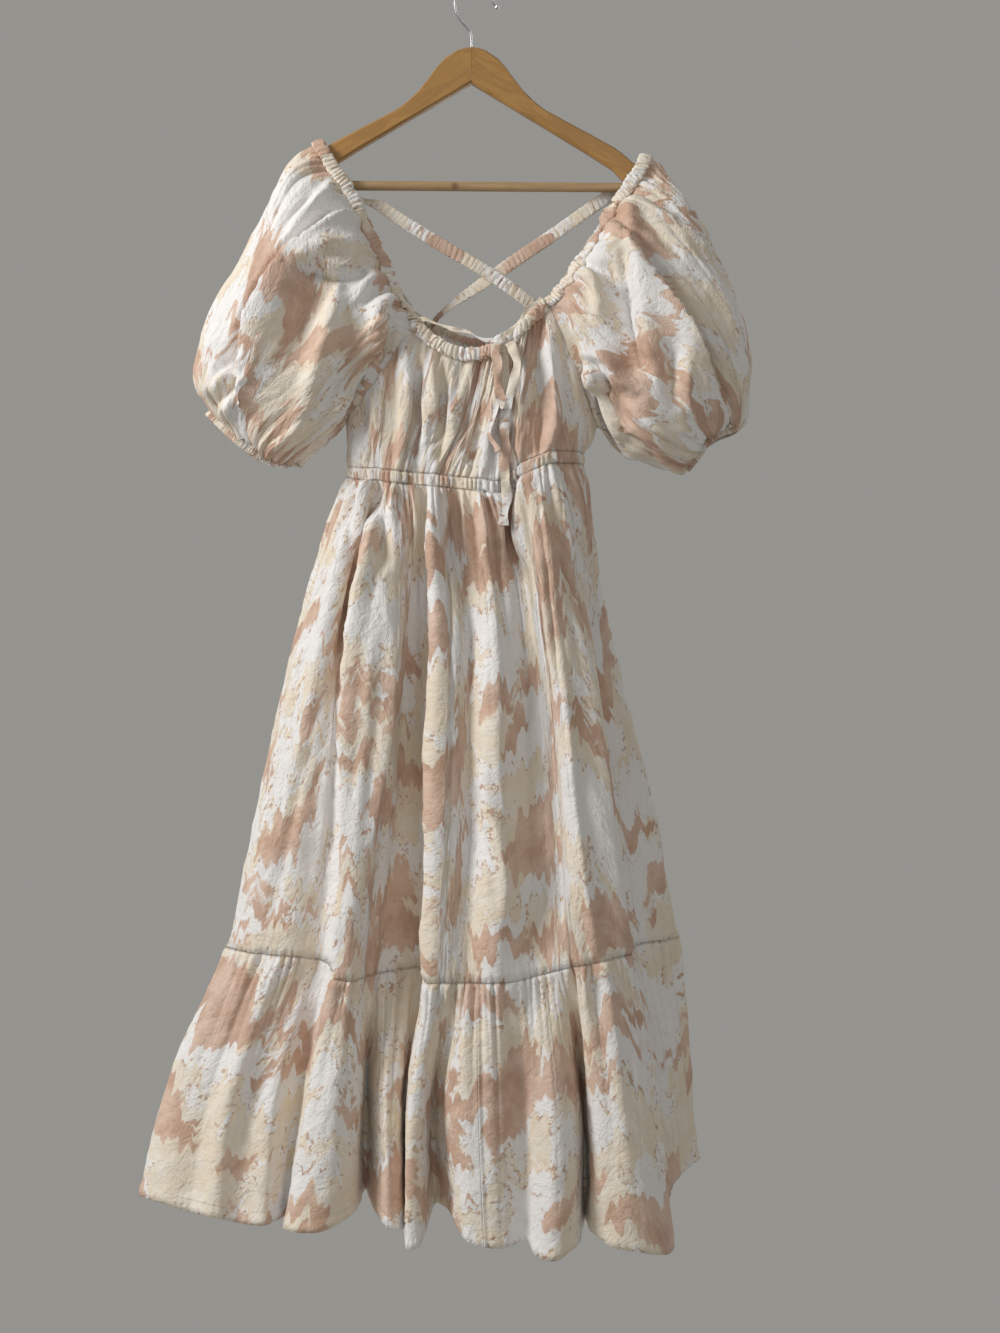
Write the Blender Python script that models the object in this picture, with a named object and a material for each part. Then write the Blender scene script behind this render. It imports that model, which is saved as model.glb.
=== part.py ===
"""Puff sleeve midi dress on a wooden hanger. Millimetres in the tables, metres in Blender."""
import math

import bpy
import numpy as np

MM = 0.001
WALL = 1.5
SEAM_GAP = 0.3
UNDERARM_EASE = 0.8
CASING_HEIGHT = 9.0
CASING_THICKNESS = 3.2
WAIST_BAND = 13.0
WAIST_RISE = 1.0
CUFF_RISE = 1.0
UPPER_SKIRT_LEVEL = -700.0
LOWER_SKIRT_LEVEL = -889.0
BODICE_ROWS = 4
SKIRT_ROWS = 6
FLOUNCE_ROWS = 4
STEPS_PER_LINE = 2
SLEEVE_ROWS = (0, 0.5, 1, 1.8, 2.7, 3.6, 4.6, 5.6, 6.8, 8, 8.5, 9)
CUFF_START = 9
RIBBON_THICKNESS = 1.2
TIE_WIDTH = 12.0
STRAP_WIDTH = 14.0
STRAP_THICKNESS = 2.0
JOINT_X = -3.9
JOINT_GAP = 0.2
WIRE_RADIUS = 1.4
BALL_RADIUS = 2.2
BAR_RADIUS = 5.3
BORE_PLAY = 0.1

# One row per fold line round the body: neck edge, bodice middle, waist, two skirt levels, tier seam.
BODY_COLUMNS = ("top_x top_y top_z mid_x mid_y mid_z waist_x waist_y waist_z "
                "upper_x upper_y lower_x lower_y seam_x seam_y seam_z").split()
BODY = [
    ("side_left", -141, 0, -485, -139, -3, -514, -138, -4, -542, -189, -3, -234, -5, -270, -5, -1065),
    ("left_roll", -130, -16, -474, -128, -20, -512, -128, -22, -546, -175, -26, -215, -32, -240, -34, -1066),
    ("left_face", -112, -28, -454, -112, -33, -502, -113, -31, -548, -152, -38, -182, -44, -198, -48, -1068),
    ("left_dip", -94, -33, -428, -98, -31, -489, -104, -33, -548, -140, -30, -154, -34, -164, -38, -1074),
    ("panel_left", -77, -35, -404, -87, -38, -478, -98, -38, -550, -132, -54, -139, -64, -142, -80, -1086),
    ("panel_mid", -62, -34, -394, -76, -42, -476, -89, -40, -551, -108, -60, -117, -68, -131, -82, -1088),
    ("panel_right", -48, -35, -406, -63, -36, -478, -78, -39, -552, -78, -52, -94, -60, -119, -68, -1086),
    ("recess", -34, -37, -415, -49, -43, -482, -67, -37, -553, -71, -22, -77, -22, -86, -28, -1085),
    ("recess_right", -20, -38, -420, -36, -36, -484, -59, -37, -554, -54, -24, -55, -26, -59, -30, -1082),
    ("edge", -7, -39, -422, -23, -43, -487, -50, -41, -555, -41, -50, -41, -58, -49, -80, -1090),
    ("face", 5, -39, -422, -11, -38, -487, -37, -42, -556, -23, -52, -24, -62, -30, -86, -1089),
    ("soft_dip", 16, -39, -419, 1, -44, -489, -21, -41, -558, -6, -44, -5, -54, -7, -80, -1090),
    ("ridge", 25, -39, -415, 11, -40, -487, -5, -44, -560, 14, -56, 17, -68, 15, -88, -1089),
    ("ridge_right", 34, -39, -409, 21, -43, -487, 10, -43, -561, 30, -52, 36, -64, 43, -84, -1088),
    ("dip", 43, -38, -402, 31, -36, -482, 24, -41, -563, 49, -42, 56, -54, 64, -76, -1084),
    ("notch", 51, -37, -393, 43, -36, -477, 36, -26, -554, 60, -46, 70, -60, 82, -78, -1079),
    ("raised_left", 61, -35, -383, 54, -42, -469, 50, -44, -544, 71, -55, 87, -69, 103, -82, -1073),
    ("raised_mid", 71, -33, -374, 68, -44, -461, 67, -49, -537, 84, -58, 104, -72, 124, -80, -1070),
    ("raised_right", 79, -31, -367, 82, -40, -456, 83, -46, -531, 98, -53, 121, -66, 144, -74, -1066),
    ("step", 92, -33, -392, 95, -40, -465, 93, -38, -530, 110, -45, 134, -55, 157, -67, -1064),
    ("right_roll", 105, -30, -424, 110, -30, -478, 104, -28, -529, 122, -28, 150, -34, 168, -52, -1064),
    ("inner_turn", 121, -17, -460, 124, -15, -492, 114, -14, -528, 123, -8, 149, -8, 168, -22, -1064),
    ("side_right", 134, 2, -493, 129, 0, -512, 118, -2, -529, 127, 6, 156, 12, 181, -2, -1061),
    ("back_inner", 131, 9, -482, 126, 6, -506, 119, 4, -530, 132, 14, 174, 22, 201, 20, -1062),
    ("back_roll", 123, 18, -461, 123, 18, -496, 118, 14, -529, 140, 26, 194, 38, 227, 44, -1060),
    ("back_a", 108, 26, -424, 109, 28, -479, 108, 25, -530, 127, 46, 170, 64, 199, 74, -1061),
    ("back_b", 92, 28, -387, 91, 30, -460, 90, 31, -532, 102, 40, 136, 52, 157, 62, -1064),
    ("back_c", 79, 25, -358, 73, 34, -446, 71, 35, -534, 78, 54, 101, 76, 117, 88, -1065),
    ("back_d", 59, 28, -375, 54, 32, -456, 51, 33, -536, 52, 42, 64, 56, 73, 64, -1066),
    ("back_e", 41, 30, -388, 33, 36, -462, 28, 36, -537, 25, 56, 28, 80, 30, 92, -1067),
    ("back_f", 20, 31, -397, 10, 33, -467, 3, 34, -538, -2, 42, -6, 56, -9, 64, -1068),
    ("back_g", -2, 31, -398, -14, 37, -467, -23, 36, -539, -30, 56, -44, 78, -53, 92, -1069),
    ("back_h", -23, 30, -392, -36, 33, -464, -49, 34, -539, -58, 42, -77, 54, -91, 62, -1070),
    ("back_i", -43, 27, -383, -59, 35, -460, -73, 35, -539, -87, 52, -114, 72, -133, 84, -1072),
    ("back_j", -59, 25, -379, -79, 31, -460, -97, 31, -540, -113, 40, -149, 50, -174, 56, -1073),
    ("back_k", -84, 27, -411, -100, 29, -468, -117, 23, -541, -146, 36, -187, 50, -217, 56, -1073),
    ("back_l", -115, 22, -452, -124, 18, -493, -132, 11, -541, -172, 18, -218, 24, -252, 28, -1074),
]

# One row per fold line of the flounce: its place on the body lines, its middle and its hem.
FLOUNCE_COLUMNS = "line middle_x middle_y middle_z hem_x hem_y hem_z".split()
FLOUNCE = [
    ("side_left", 0, -342, -8, -1230, -365, -12, -1334),
    ("left_a", 0.6, -313, -32, -1225, -335, -40, -1334),
    ("left_b", 1.2, -289, -34, -1224, -307, -44, -1341),
    ("left_c", 1.7, -261, -54, -1221, -276, -64, -1342),
    ("left_d", 2.2, -239, -44, -1225, -252, -56, -1350),
    ("left_e", 2.7, -213, -54, -1222, -224, -64, -1350),
    ("recess_1", 3.2, -189, -32, -1225, -204, -34, -1350),
    ("fold2_left", 4.0, -170, -84, -1212, -196, -88, -1347),
    ("fold2_mid", 5.0, -145, -94, -1214, -162, -100, -1345),
    ("fold2_right", 5.8, -124, -76, -1219, -131, -80, -1335),
    ("recess_2", 6.3, -118, -20, -1228, -119, -12, -1326),
    ("fold3_left", 6.6, -102, -66, -1216, -99, -76, -1339),
    ("fold3_mid", 7.1, -89, -76, -1219, -87, -86, -1347),
    ("fold3_right", 7.6, -78, -62, -1217, -76, -72, -1351),
    ("recess_3", 8.2, -73, -38, -1223, -70, -44, -1345),
    ("fold4_left", 9.0, -67, -92, -1220, -70, -110, -1361),
    ("fold4_right", 9.6, -54, -92, -1220, -58, -108, -1359),
    ("recess_4", 10.1, -44, -42, -1233, -43, -34, -1336),
    ("fold5_left", 10.6, -30, -80, -1223, -23, -80, -1332),
    ("fold5_a", 11.0, -13, -100, -1218, -8, -106, -1351),
    ("fold5_b", 11.5, 5, -104, -1217, 11, -112, -1357),
    ("fold5_c", 12.3, 28, -98, -1219, 32, -108, -1359),
    ("fold5_d", 13.0, 52, -84, -1217, 55, -94, -1356),
    ("fold6_left", 13.8, 66, -96, -1214, 67, -112, -1367),
    ("fold6_mid", 14.4, 84, -106, -1211, 85, -122, -1368),
    ("fold6_right", 15.1, 102, -92, -1215, 104, -106, -1360),
    ("recess_5", 15.7, 116, -34, -1219, 120, -28, -1352),
    ("fold7_left", 16.3, 123, -84, -1217, 126, -88, -1350),
    ("fold7_a", 17.0, 140, -98, -1214, 146, -106, -1359),
    ("fold7_b", 18.0, 161, -98, -1214, 173, -108, -1364),
    ("fold7_c", 19.0, 180, -86, -1211, 194, -98, -1370),
    ("fold7_right", 20.0, 196, -56, -1217, 210, -62, -1375),
    ("turn", 21.0, 198, -16, -1218, 210, -18, -1337),
    ("side_right", 22.0, 212, 0, -1211, 221, 2, -1319),
    ("back_inner", 23.0, 225, 16, -1212, 230, 24, -1320),
    ("back_roll", 24.0, 242, 42, -1228, 250, 54, -1311),
    ("back_a", 25.0, 218, 80, -1232, 224, 94, -1315),
    ("back_b", 26.0, 182, 62, -1232, 190, 70, -1320),
    ("back_c", 27.0, 132, 98, -1232, 140, 116, -1328),
    ("back_d", 28.0, 71, 70, -1232, 69, 78, -1328),
    ("back_e", 29.0, 28, 96, -1232, 28, 108, -1334),
    ("back_f", 30.0, -9, 60, -1234, -7, 66, -1335),
    ("back_g", 31.0, -56, 104, -1234, -66, 124, -1339),
    ("back_h", 32.0, -114, 68, -1236, -128, 74, -1342),
    ("back_i", 33.0, -157, 90, -1238, -172, 102, -1345),
    ("back_j", 34.0, -196, 52, -1239, -210, 54, -1348),
    ("back_k", 35.0, -257, 66, -1241, -283, 74, -1351),
    ("back_l", 36.0, -308, 30, -1243, -335, 32, -1352),
]

# Edge of each sleeve head under its casing, from the front corner over the hanger to the back.
# Columns: name, x, y, z.
LEFT_HEAD = [
    ("front_low", -75, -30, -372),
    ("front_mid", -91, -25, -342),
    ("front_high", -111, -19, -300),
    ("at_bar", -134, -15, -250),
    ("arm_low", -153, -13, -219),
    ("arm_front", -166, -12, -200),
    ("arm_edge", -171, -9, -190),
    ("arm_top", -174, 0, -183),
    ("arm_edge_back", -172, 9, -186),
    ("arm_back", -166, 12, -196),
    ("back_arm_low", -153, 13, -217),
    ("back_bar", -134, 15, -250),
    ("back_high", -112, 18, -298),
    ("back_mid", -94, 21, -336),
    ("back_low", -77, 23, -364),
]
RIGHT_HEAD = [
    ("front_low", 91, -28, -356),
    ("front_mid", 109, -24, -331),
    ("front_high", 131, -18, -295),
    ("at_bar", 156, -15, -254),
    ("arm_low", 172, -13, -231),
    ("arm_front", 183, -12, -214),
    ("arm_edge", 187, -9, -205),
    ("arm_top", 190, 0, -198),
    ("arm_edge_back", 188, 9, -201),
    ("arm_back", 182, 12, -211),
    ("back_arm_low", 172, 13, -229),
    ("back_bar", 156, 15, -253),
    ("back_high", 133, 18, -291),
    ("back_mid", 111, 20, -326),
    ("back_low", 94, 22, -350),
]

# One row per ring of a sleeve: six places from its lower edge to its upper edge, and two depths.
SLEEVE_COLUMNS = ("x0 z0 x1 z1 x2 z2 x3 z3 x4 z4 x5 z5 front back").split()
LEFT_SLEEVE = [
    ("ring_1", -148, -490, -109, -427, -85, -376, -118, -313, -153, -241, -188, -189, 38, 30),
    ("ring_2", -154, -498, -124, -444, -104, -391, -140, -324, -176, -250, -205, -203, 50, 38),
    ("ring_3", -161, -507, -138, -471, -132, -418, -171, -354, -205, -284, -230, -253, 60, 46),
    ("ring_4", -168, -514, -157, -486, -164, -441, -203, -393, -237, -343, -261, -311, 66, 52),
    ("ring_5", -176, -520, -179, -502, -196, -467, -237, -432, -268, -391, -292, -363, 62, 50),
    ("ring_6", -184, -526, -199, -516, -226, -490, -262, -464, -290, -436, -308, -416, 50, 42),
    ("ring_7", -190, -529, -214, -524, -240, -508, -267, -483, -290, -466, -306, -451, 36, 30),
    ("ring_8", -194, -528, -212, -527, -234, -519, -256, -504, -274, -486, -289, -472, 26, 24),
    ("cuff_end", -196, -536, -215, -536, -239, -528, -262, -513, -281, -495, -297, -479, 22, 22),
]
RIGHT_SLEEVE = [
    ("ring_1", 144, -497, 123, -432, 96, -371, 128, -320, 168, -254, 204, -202, 38, 30),
    ("ring_2", 152, -508, 129, -455, 115, -400, 148, -342, 190, -267, 217, -221, 50, 38),
    ("ring_3", 160, -517, 139, -482, 145, -431, 181, -367, 219, -297, 238, -255, 60, 46),
    ("ring_4", 164, -524, 152, -500, 176, -449, 212, -390, 249, -339, 268, -306, 66, 52),
    ("ring_5", 184, -530, 180, -514, 206, -468, 241, -421, 273, -383, 290, -360, 62, 50),
    ("ring_6", 204, -538, 205, -524, 231, -486, 263, -455, 289, -434, 304, -414, 50, 42),
    ("ring_7", 221, -541, 227, -530, 248, -500, 274, -481, 292, -472, 300, -462, 34, 32),
    ("ring_8", 230, -536, 239, -522, 251, -506, 269, -496, 285, -490, 295, -482, 24, 26),
    ("cuff_end", 236, -542, 247, -528, 257, -514, 271, -505, 287, -499, 299, -489, 20, 24),
]

# Largest folds of the sleeves: a line from start to end, its two widths and its height.
# Columns: name, side, three places x z, width before, width after, height.
LEFT_FOLDS = [
    ("big_ridge", -1, -150, -258, -220, -330, -250, -430, 16, 34, 9),
    ("pocket", -1, -200, -318, -175, -314, -150, -322, 12, 20, 5),
    ("inner_ridge", -1, -156, -330, -158, -370, -166, -420, 14, 16, 7),
    ("corner_ridge", -1, -100, -372, -96, -400, -112, -440, 12, 16, 6),
    ("back_ridge", 1, -150, -262, -214, -340, -244, -430, 20, 30, 8),
    ("back_inner_ridge", 1, -120, -330, -140, -390, -180, -450, 16, 20, 7),
]
RIGHT_FOLDS = [
    ("long_ridge", -1, 168, -300, 226, -374, 276, -466, 30, 14, 9),
    ("middle_ridge", -1, 170, -302, 180, -350, 186, -410, 12, 18, 6),
    ("low_pocket", -1, 150, -430, 168, -444, 186, -470, 14, 16, 6),
    ("back_ridge", 1, 160, -290, 220, -360, 262, -446, 26, 20, 8),
    ("back_inner_ridge", 1, 128, -350, 150, -410, 190, -470, 16, 20, 7),
]

# Hanger arm from its centre joint outwards: distance from the joint, upper and lower edge.
# Columns: name, distance out, top, bottom, half depth, corner radius.
ARM = [
    ("joint", 0, -75.7, -115.3, 6.0, 2.5),
    ("crown", 7, -76.6, -119.4, 6.0, 2.5),
    ("crown_edge", 15, -78.8, -124.1, 6.0, 2.5),
    ("shoulder_high", 29, -87.8, -132.4, 6.0, 2.5),
    ("shoulder", 38, -97.7, -137.7, 6.0, 2.5),
    ("shoulder_low", 47, -109.8, -143.0, 6.0, 2.5),
    ("hollow_high", 57, -122.6, -148.9, 6.0, 2.5),
    ("hollow", 69, -134.4, -155.9, 6.0, 2.5),
    ("hollow_low", 81, -143.4, -163.0, 6.0, 2.5),
    ("arm_start", 100, -153.6, -174.3, 6.0, 2.5),
    ("arm_middle", 128, -168.2, -190.8, 6.0, 2.5),
    ("arm_low", 156, -183.2, -208.5, 6.0, 2.5),
    ("arm_drop", 166, -190.0, -219.0, 6.0, 2.5),
    ("bar_joint", 174, -197.0, -228.0, 6.0, 2.5),
    ("bar_end", 184, -206.0, -235.0, 6.0, 2.5),
    ("tip", 191, -212.0, -233.0, 5.0, 2.5),
    ("tip_end", 193, -216.0, -229.0, 3.6, 2.0),
]
RIGHT_ARM_DROP = -3.0
BAR_LEFT = (-187.5, -226.6)
BAR_RIGHT = (179.5, -229.6)

HOOK = [(-3.9, -100), (-3.9, -76), (-4.3, -63), (-5.6, -57.5), (-9.6, -52.5), (-14.5, -47.5),
        (-18.3, -42), (-21, -36.5), (-22.3, -29.5), (-22, -21.5), (-19.5, -11.5), (-14, -4),
        (-7, 0.1), (0, 1.4), (7.3, 0.3), (13.2, -4.2), (17, -11), (18.1, -19), (19.6, -25),
        (23, -29.3)]

# Ribbons: path places with the direction across the ribbon.
STRAP_LEFT_UP = [
    (-128, 6.6, -239, 0.30, 0, 0.95), (-120, 5, -243, 0.36, 0, 0.93), (-106, 3, -248, 0.42, 0, 0.9),
    (-83, 4, -263, 0.48, 0, 0.88), (-39, 6, -290, 0.52, 0, 0.85), (19, 9, -324, 0.55, 0, 0.83),
    (64, 12.5, -356, 0.58, 0, 0.81), (72, 14.2, -361, 0.6, 0, 0.8)]
STRAP_RIGHT_UP = [
    (151, 7.2, -240, -0.5, 0, 0.86), (130, 9.5, -253, -0.5, 0, 0.86), (82, 13, -281, -0.52, 0, 0.85),
    (40, 15.5, -309, -0.55, 0, 0.83), (4, 16.5, -334, -0.5, 0.3, 0.8),
    (-24, 17, -353, -0.3, 0.7, 0.6), (-41, 16.5, -366, -0.2, 0.8, 0.5)]
DRAWSTRING_LEFT = [
    (-60, -36.0, -381, 0.6, -0.1, 0.8), (-47, -37.6, -384.5, 0.35, -0.1, 0.93),
    (-22, -39.6, -392, 0.3, -0.1, 0.95), (2, -41.4, -400.5, 0.25, -0.1, 0.96),
    (12, -42.8, -404.2, 0.2, -0.1, 0.97), (20, -44.4, -405.8, 0.05, -0.1, 1)]
DRAWSTRING_RIGHT = [
    (33.6, -44.2, -401.2, -0.6, -0.1, 0.78), (45, -42, -389, -0.65, -0.1, 0.75),
    (60, -38, -372, -0.65, -0.1, 0.75), (73, -33.2, -359, -0.7, -0.1, 0.7)]
TIE_LOOP = [
    (38, -46.6, -408.3, 1, 0, 0.1), (44, -51, -420, 0.95, -0.2, 0.1), (44, -55.5, -443, 0.95, -0.2, -0.1),
    (39.5, -57, -466, 1, 0, -0.15), (35, -56, -477.5, 1, 0, 0), (32, -52.8, -479.5, 1, 0, 0),
    (30, -50.5, -474, 1, 0, 0.1), (26, -48.8, -452, 0.98, 0.1, 0.1), (23.5, -48.4, -428, 0.97, -0.15, 0),
    (23.5, -47.8, -410.5, 1, 0, 0)]
TIE_END_SHORT = [
    (22.5, -44.6, -412.4, 1, 0, 0), (24, -45.3, -440, 1, 0, 0), (24, -46.1, -466, 1, 0, 0),
    (21, -48, -486, 0.8, -0.6, 0), (17, -50.5, -502, 0.4, -0.9, 0), (20.5, -53, -516, 0.6, -0.8, 0),
    (25.5, -54.5, -526, 1, -0.3, 0)]
TIE_END_LONG = [
    (31, -42.4, -411.6, 1, 0, 0), (32, -43.5, -440, 1, 0, 0), (33, -44.5, -470, 1, 0, 0),
    (33, -46.2, -500, 1, 0, 0), (33, -47.2, -530, 1, 0, 0), (33.5, -47.6, -560, 1, 0, 0),
    (33, -49.5, -585, 1, 0, 0), (31, -53, -604.5, 1, 0, 0.05)]
KNOT_CENTRE = (27.5, -44.4, -405.5)
KNOT_RADII = (7.0, 4.2, 6.5)


def columns(names, rows):
    """Return a table's columns as arrays, by name."""
    return {name: np.array([row[1 + i] for row in rows], float) for i, name in enumerate(names)}


def unit(vectors):
    """Return vectors at length one."""
    return vectors / np.maximum(np.linalg.norm(vectors, axis=-1, keepdims=True), 1e-9)


def through(points, places, closed=False):
    """Read a smooth curve through points at places counted in points."""
    points = np.asarray(points, float)
    places = np.asarray(places, float)
    count = len(points)
    if closed:
        points = np.concatenate([points[-1:], points, points[:2]])
        places = places % count
    else:
        points = np.concatenate([2 * points[:1] - points[1:2], points, 2 * points[-1:] - points[-2:-1]])
    last = len(points) - 4
    i = np.clip(np.floor(places).astype(int), 0, last)
    share = (places - i)[:, None]
    p0, p1, p2, p3 = (points[i + k] for k in range(4))
    steps = [np.maximum(np.linalg.norm(b - a, axis=1, keepdims=True), 1e-6) ** 0.5
             for a, b in ((p0, p1), (p1, p2), (p2, p3))]
    t1 = steps[0]
    t2 = t1 + steps[1]
    t3 = t2 + steps[2]
    t = t1 + share * steps[1]
    a1 = (t1 - t) / t1 * p0 + t / t1 * p1
    a2 = (t2 - t) / (t2 - t1) * p1 + (t - t1) / (t2 - t1) * p2
    a3 = (t3 - t) / (t3 - t2) * p2 + (t - t2) / (t3 - t2) * p3
    b1 = (t2 - t) / t2 * a1 + t / t2 * a2
    b2 = (t3 - t) / (t3 - t1) * a2 + (t - t1) / (t3 - t1) * a3
    return (t2 - t) / (t2 - t1) * b1 + (t - t1) / (t2 - t1) * b2


def down(levels, places):
    """Read every column of a stack of level rows at places counted in levels."""
    levels = np.asarray(levels, float)
    return np.stack([through(levels[:, k], places) for k in range(levels.shape[1])], axis=1)


def surface_normals(grid, sign):
    """Return outward normals of a grid whose columns close into a ring."""
    along = np.roll(grid, -1, axis=1) - np.roll(grid, 1, axis=1)
    downward = np.gradient(grid, axis=0)
    return sign * unit(np.cross(downward, along))


def body_lines():
    """Return the body's level points, one stack per line."""
    c = columns(BODY_COLUMNS, BODY)
    top = np.stack([c["top_x"], c["top_y"], c["top_z"]], axis=1)
    middle = np.stack([c["mid_x"], c["mid_y"], c["mid_z"]], axis=1)
    waist = np.stack([c["waist_x"], c["waist_y"], c["waist_z"]], axis=1)
    level = np.ones(len(BODY))
    upper = np.stack([c["upper_x"], c["upper_y"], UPPER_SKIRT_LEVEL * level], axis=1)
    lower = np.stack([c["lower_x"], c["lower_y"], LOWER_SKIRT_LEVEL * level], axis=1)
    seam = np.stack([c["seam_x"], c["seam_y"], c["seam_z"]], axis=1)
    return top, middle, waist, upper, lower, seam


def body_grid():
    """Return the body's outer points, their normals, the column places and the row numbers."""
    f = columns(FLOUNCE_COLUMNS, FLOUNCE)
    count = len(FLOUNCE)
    steps = np.arange(count * STEPS_PER_LINE) / STEPS_PER_LINE
    ends = np.append(f["line"], len(BODY))
    places = np.interp(steps, np.arange(count + 1), ends)
    top, middle, waist, upper, lower, seam = (through(level, places, True) for level in body_lines())
    half = np.array([0, 0, WAIST_BAND / 2])
    bodice = down([top, middle, waist + half], np.linspace(0, 2, BODICE_ROWS + 1))
    out = unit(waist * (1, 1, 0) - (-10, 0, 0)) * WAIST_RISE
    skirt = down([waist - half, upper, lower, seam], np.linspace(0, 3, SKIRT_ROWS + 1))
    mid = through(np.stack([f["middle_x"], f["middle_y"], f["middle_z"]], axis=1), steps, True)
    hem = through(np.stack([f["hem_x"], f["hem_y"], f["hem_z"]], axis=1), steps, True)
    flounce = down([seam, mid, hem], np.linspace(0, 2, FLOUNCE_ROWS + 1))
    grid = np.concatenate([bodice, (waist + out)[None], skirt, flounce[1:]])
    rows = {"neck": 0, "band_top": BODICE_ROWS, "band_bottom": BODICE_ROWS + 2,
            "tier": BODICE_ROWS + 2 + SKIRT_ROWS, "hem": len(grid) - 1}
    return grid, surface_normals(grid, 1), places, rows


def fold_rise(points, normals, folds):
    """Return how far the table's folds lift each point along its normal."""
    rise = np.zeros(points.shape[:-1])
    for name, side, x0, z0, x1, z1, x2, z2, before, after, height in folds:
        path = through([(x0, z0), (x1, z1), (x2, z2)], np.linspace(0, 2, 25))
        offset = points[..., None, [0, 2]] - path
        distance = np.linalg.norm(offset, axis=-1)
        nearest = distance.argmin(axis=-1)
        heading = unit(np.gradient(path, axis=0))[nearest]
        away = np.take_along_axis(offset, nearest[..., None, None], axis=-2)[..., 0, :]
        turned = heading[..., 0] * away[..., 1] - heading[..., 1] * away[..., 0]
        width = np.where(turned > 0, before, after)
        taper = np.sin(math.pi * (nearest + 1.5) / 28) ** 0.6
        facing = np.clip(side * normals[..., 1] * 2, 0, 1)
        rise += height * taper * facing * np.exp(-(distance.min(axis=-1) / width) ** 2)
    return rise


def sleeve_grid(head, rings, folds, body, normals, places, corner, low, back_corner, sign):
    """Return a sleeve's outer points and normals; its first ring is the raglan edge and the head."""
    lines = np.array([row[1:] for row in head], float)
    if low == 0:
        front = np.where(places <= corner + 1e-6)[0]
        back = np.append(np.where(places >= back_corner - 1e-6)[0], 0)
    else:
        front = np.where((places >= corner - 1e-6) & (places <= low + 1e-6))[0][::-1]
        back = np.where((places >= low - 1e-6) & (places <= back_corner + 1e-6))[0][::-1]
    edge_front = body[0, front]
    edge_back = body[0, back]
    path = np.concatenate([edge_front[-1:], lines, edge_back[:1]])
    spans = len(path) - 1
    over = through(path, np.linspace(0, spans, spans * STEPS_PER_LINE + 1))[1:-1]
    first = np.concatenate([edge_front, over, edge_back[:-1]])
    top = len(front) + STEPS_PER_LINE * 8 - 1
    walk = np.concatenate([[0], np.cumsum(np.linalg.norm(np.diff(first, axis=0), axis=1))])
    closing = walk[-1] + np.linalg.norm(first[0] - first[-1])
    share = np.where(walk <= walk[top], walk / walk[top], (closing - walk) / (closing - walk[top]))
    levels = [first]
    c = columns(SLEEVE_COLUMNS, rings)
    for k in range(len(rings)):
        flat = np.array([(c["x%d" % i][k], c["z%d" % i][k]) for i in range(6)])
        read = through(flat, share * 5)
        depth = np.where(walk <= walk[top], -c["front"][k], c["back"][k])
        y = depth * np.sin(math.pi * np.clip(share, 0, 1)) ** 0.7
        levels.append(np.stack([read[:, 0], y, read[:, 1]], axis=1))
    grid = down(levels, SLEEVE_ROWS)
    turned = surface_normals(grid, sign)
    fade = np.clip(np.minimum(np.arange(len(grid)), CUFF_START - np.arange(len(grid))) / 2.0, 0, 1)
    grid = grid + turned * (fold_rise(grid, turned, folds) * fade[:, None])[..., None]
    grid[CUFF_START + 1] += turned[CUFF_START + 1] * CUFF_RISE
    turned = surface_normals(grid, sign)
    shared = np.concatenate([normals[0, front], turned[0, len(front):len(front) + len(over)],
                             normals[0, back[:-1]]])
    turned[0] = shared
    turned[1] = unit(turned[1] + shared)
    return grid, turned, len(front), len(over)


def material(name, colour, roughness, metallic=0.0):
    """Return a plain Principled material."""
    made = bpy.data.materials.new(name)
    made.use_nodes = True
    shader = made.node_tree.nodes["Principled BSDF"]
    shader.inputs["Base Color"].default_value = (*colour, 1)
    shader.inputs["Roughness"].default_value = roughness
    shader.inputs["Metallic"].default_value = metallic
    return made


def volume(points, faces):
    """Return the signed volume inside the faces."""
    total = 0.0
    for face in faces:
        for k in range(1, len(face) - 1):
            total += np.dot(points[face[0]], np.cross(points[face[k]], points[face[k + 1]]))
    return total


def solid(name, points, faces, surface):
    """Make one named object from millimetre points, its faces turned outwards."""
    points = np.asarray(points, float)
    if volume(points, faces) < 0:
        faces = [tuple(reversed(face)) for face in faces]
    mesh = bpy.data.meshes.new(name)
    mesh.from_pydata([tuple(p) for p in points * MM], [], faces)
    mesh.materials.append(surface)
    mesh.update()
    made = bpy.data.objects.new(name, mesh)
    bpy.context.collection.objects.link(made)
    return made


def pull_edges(outer, inner, sides):
    """Move the named edges of a wall inwards by half a seam gap."""
    for side in sides:
        axis, edge, inside = {"top": (0, 0, 1), "bottom": (0, -1, -2),
                              "left": (1, 0, 1), "right": (1, -1, -2)}[side]
        middle = (outer + inner) / 2
        middle = np.moveaxis(middle, axis, 0)
        step = unit(middle[inside] - middle[edge]) * SEAM_GAP / 2
        np.moveaxis(outer, axis, 0)[edge] += step
        np.moveaxis(inner, axis, 0)[edge] += step


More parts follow.
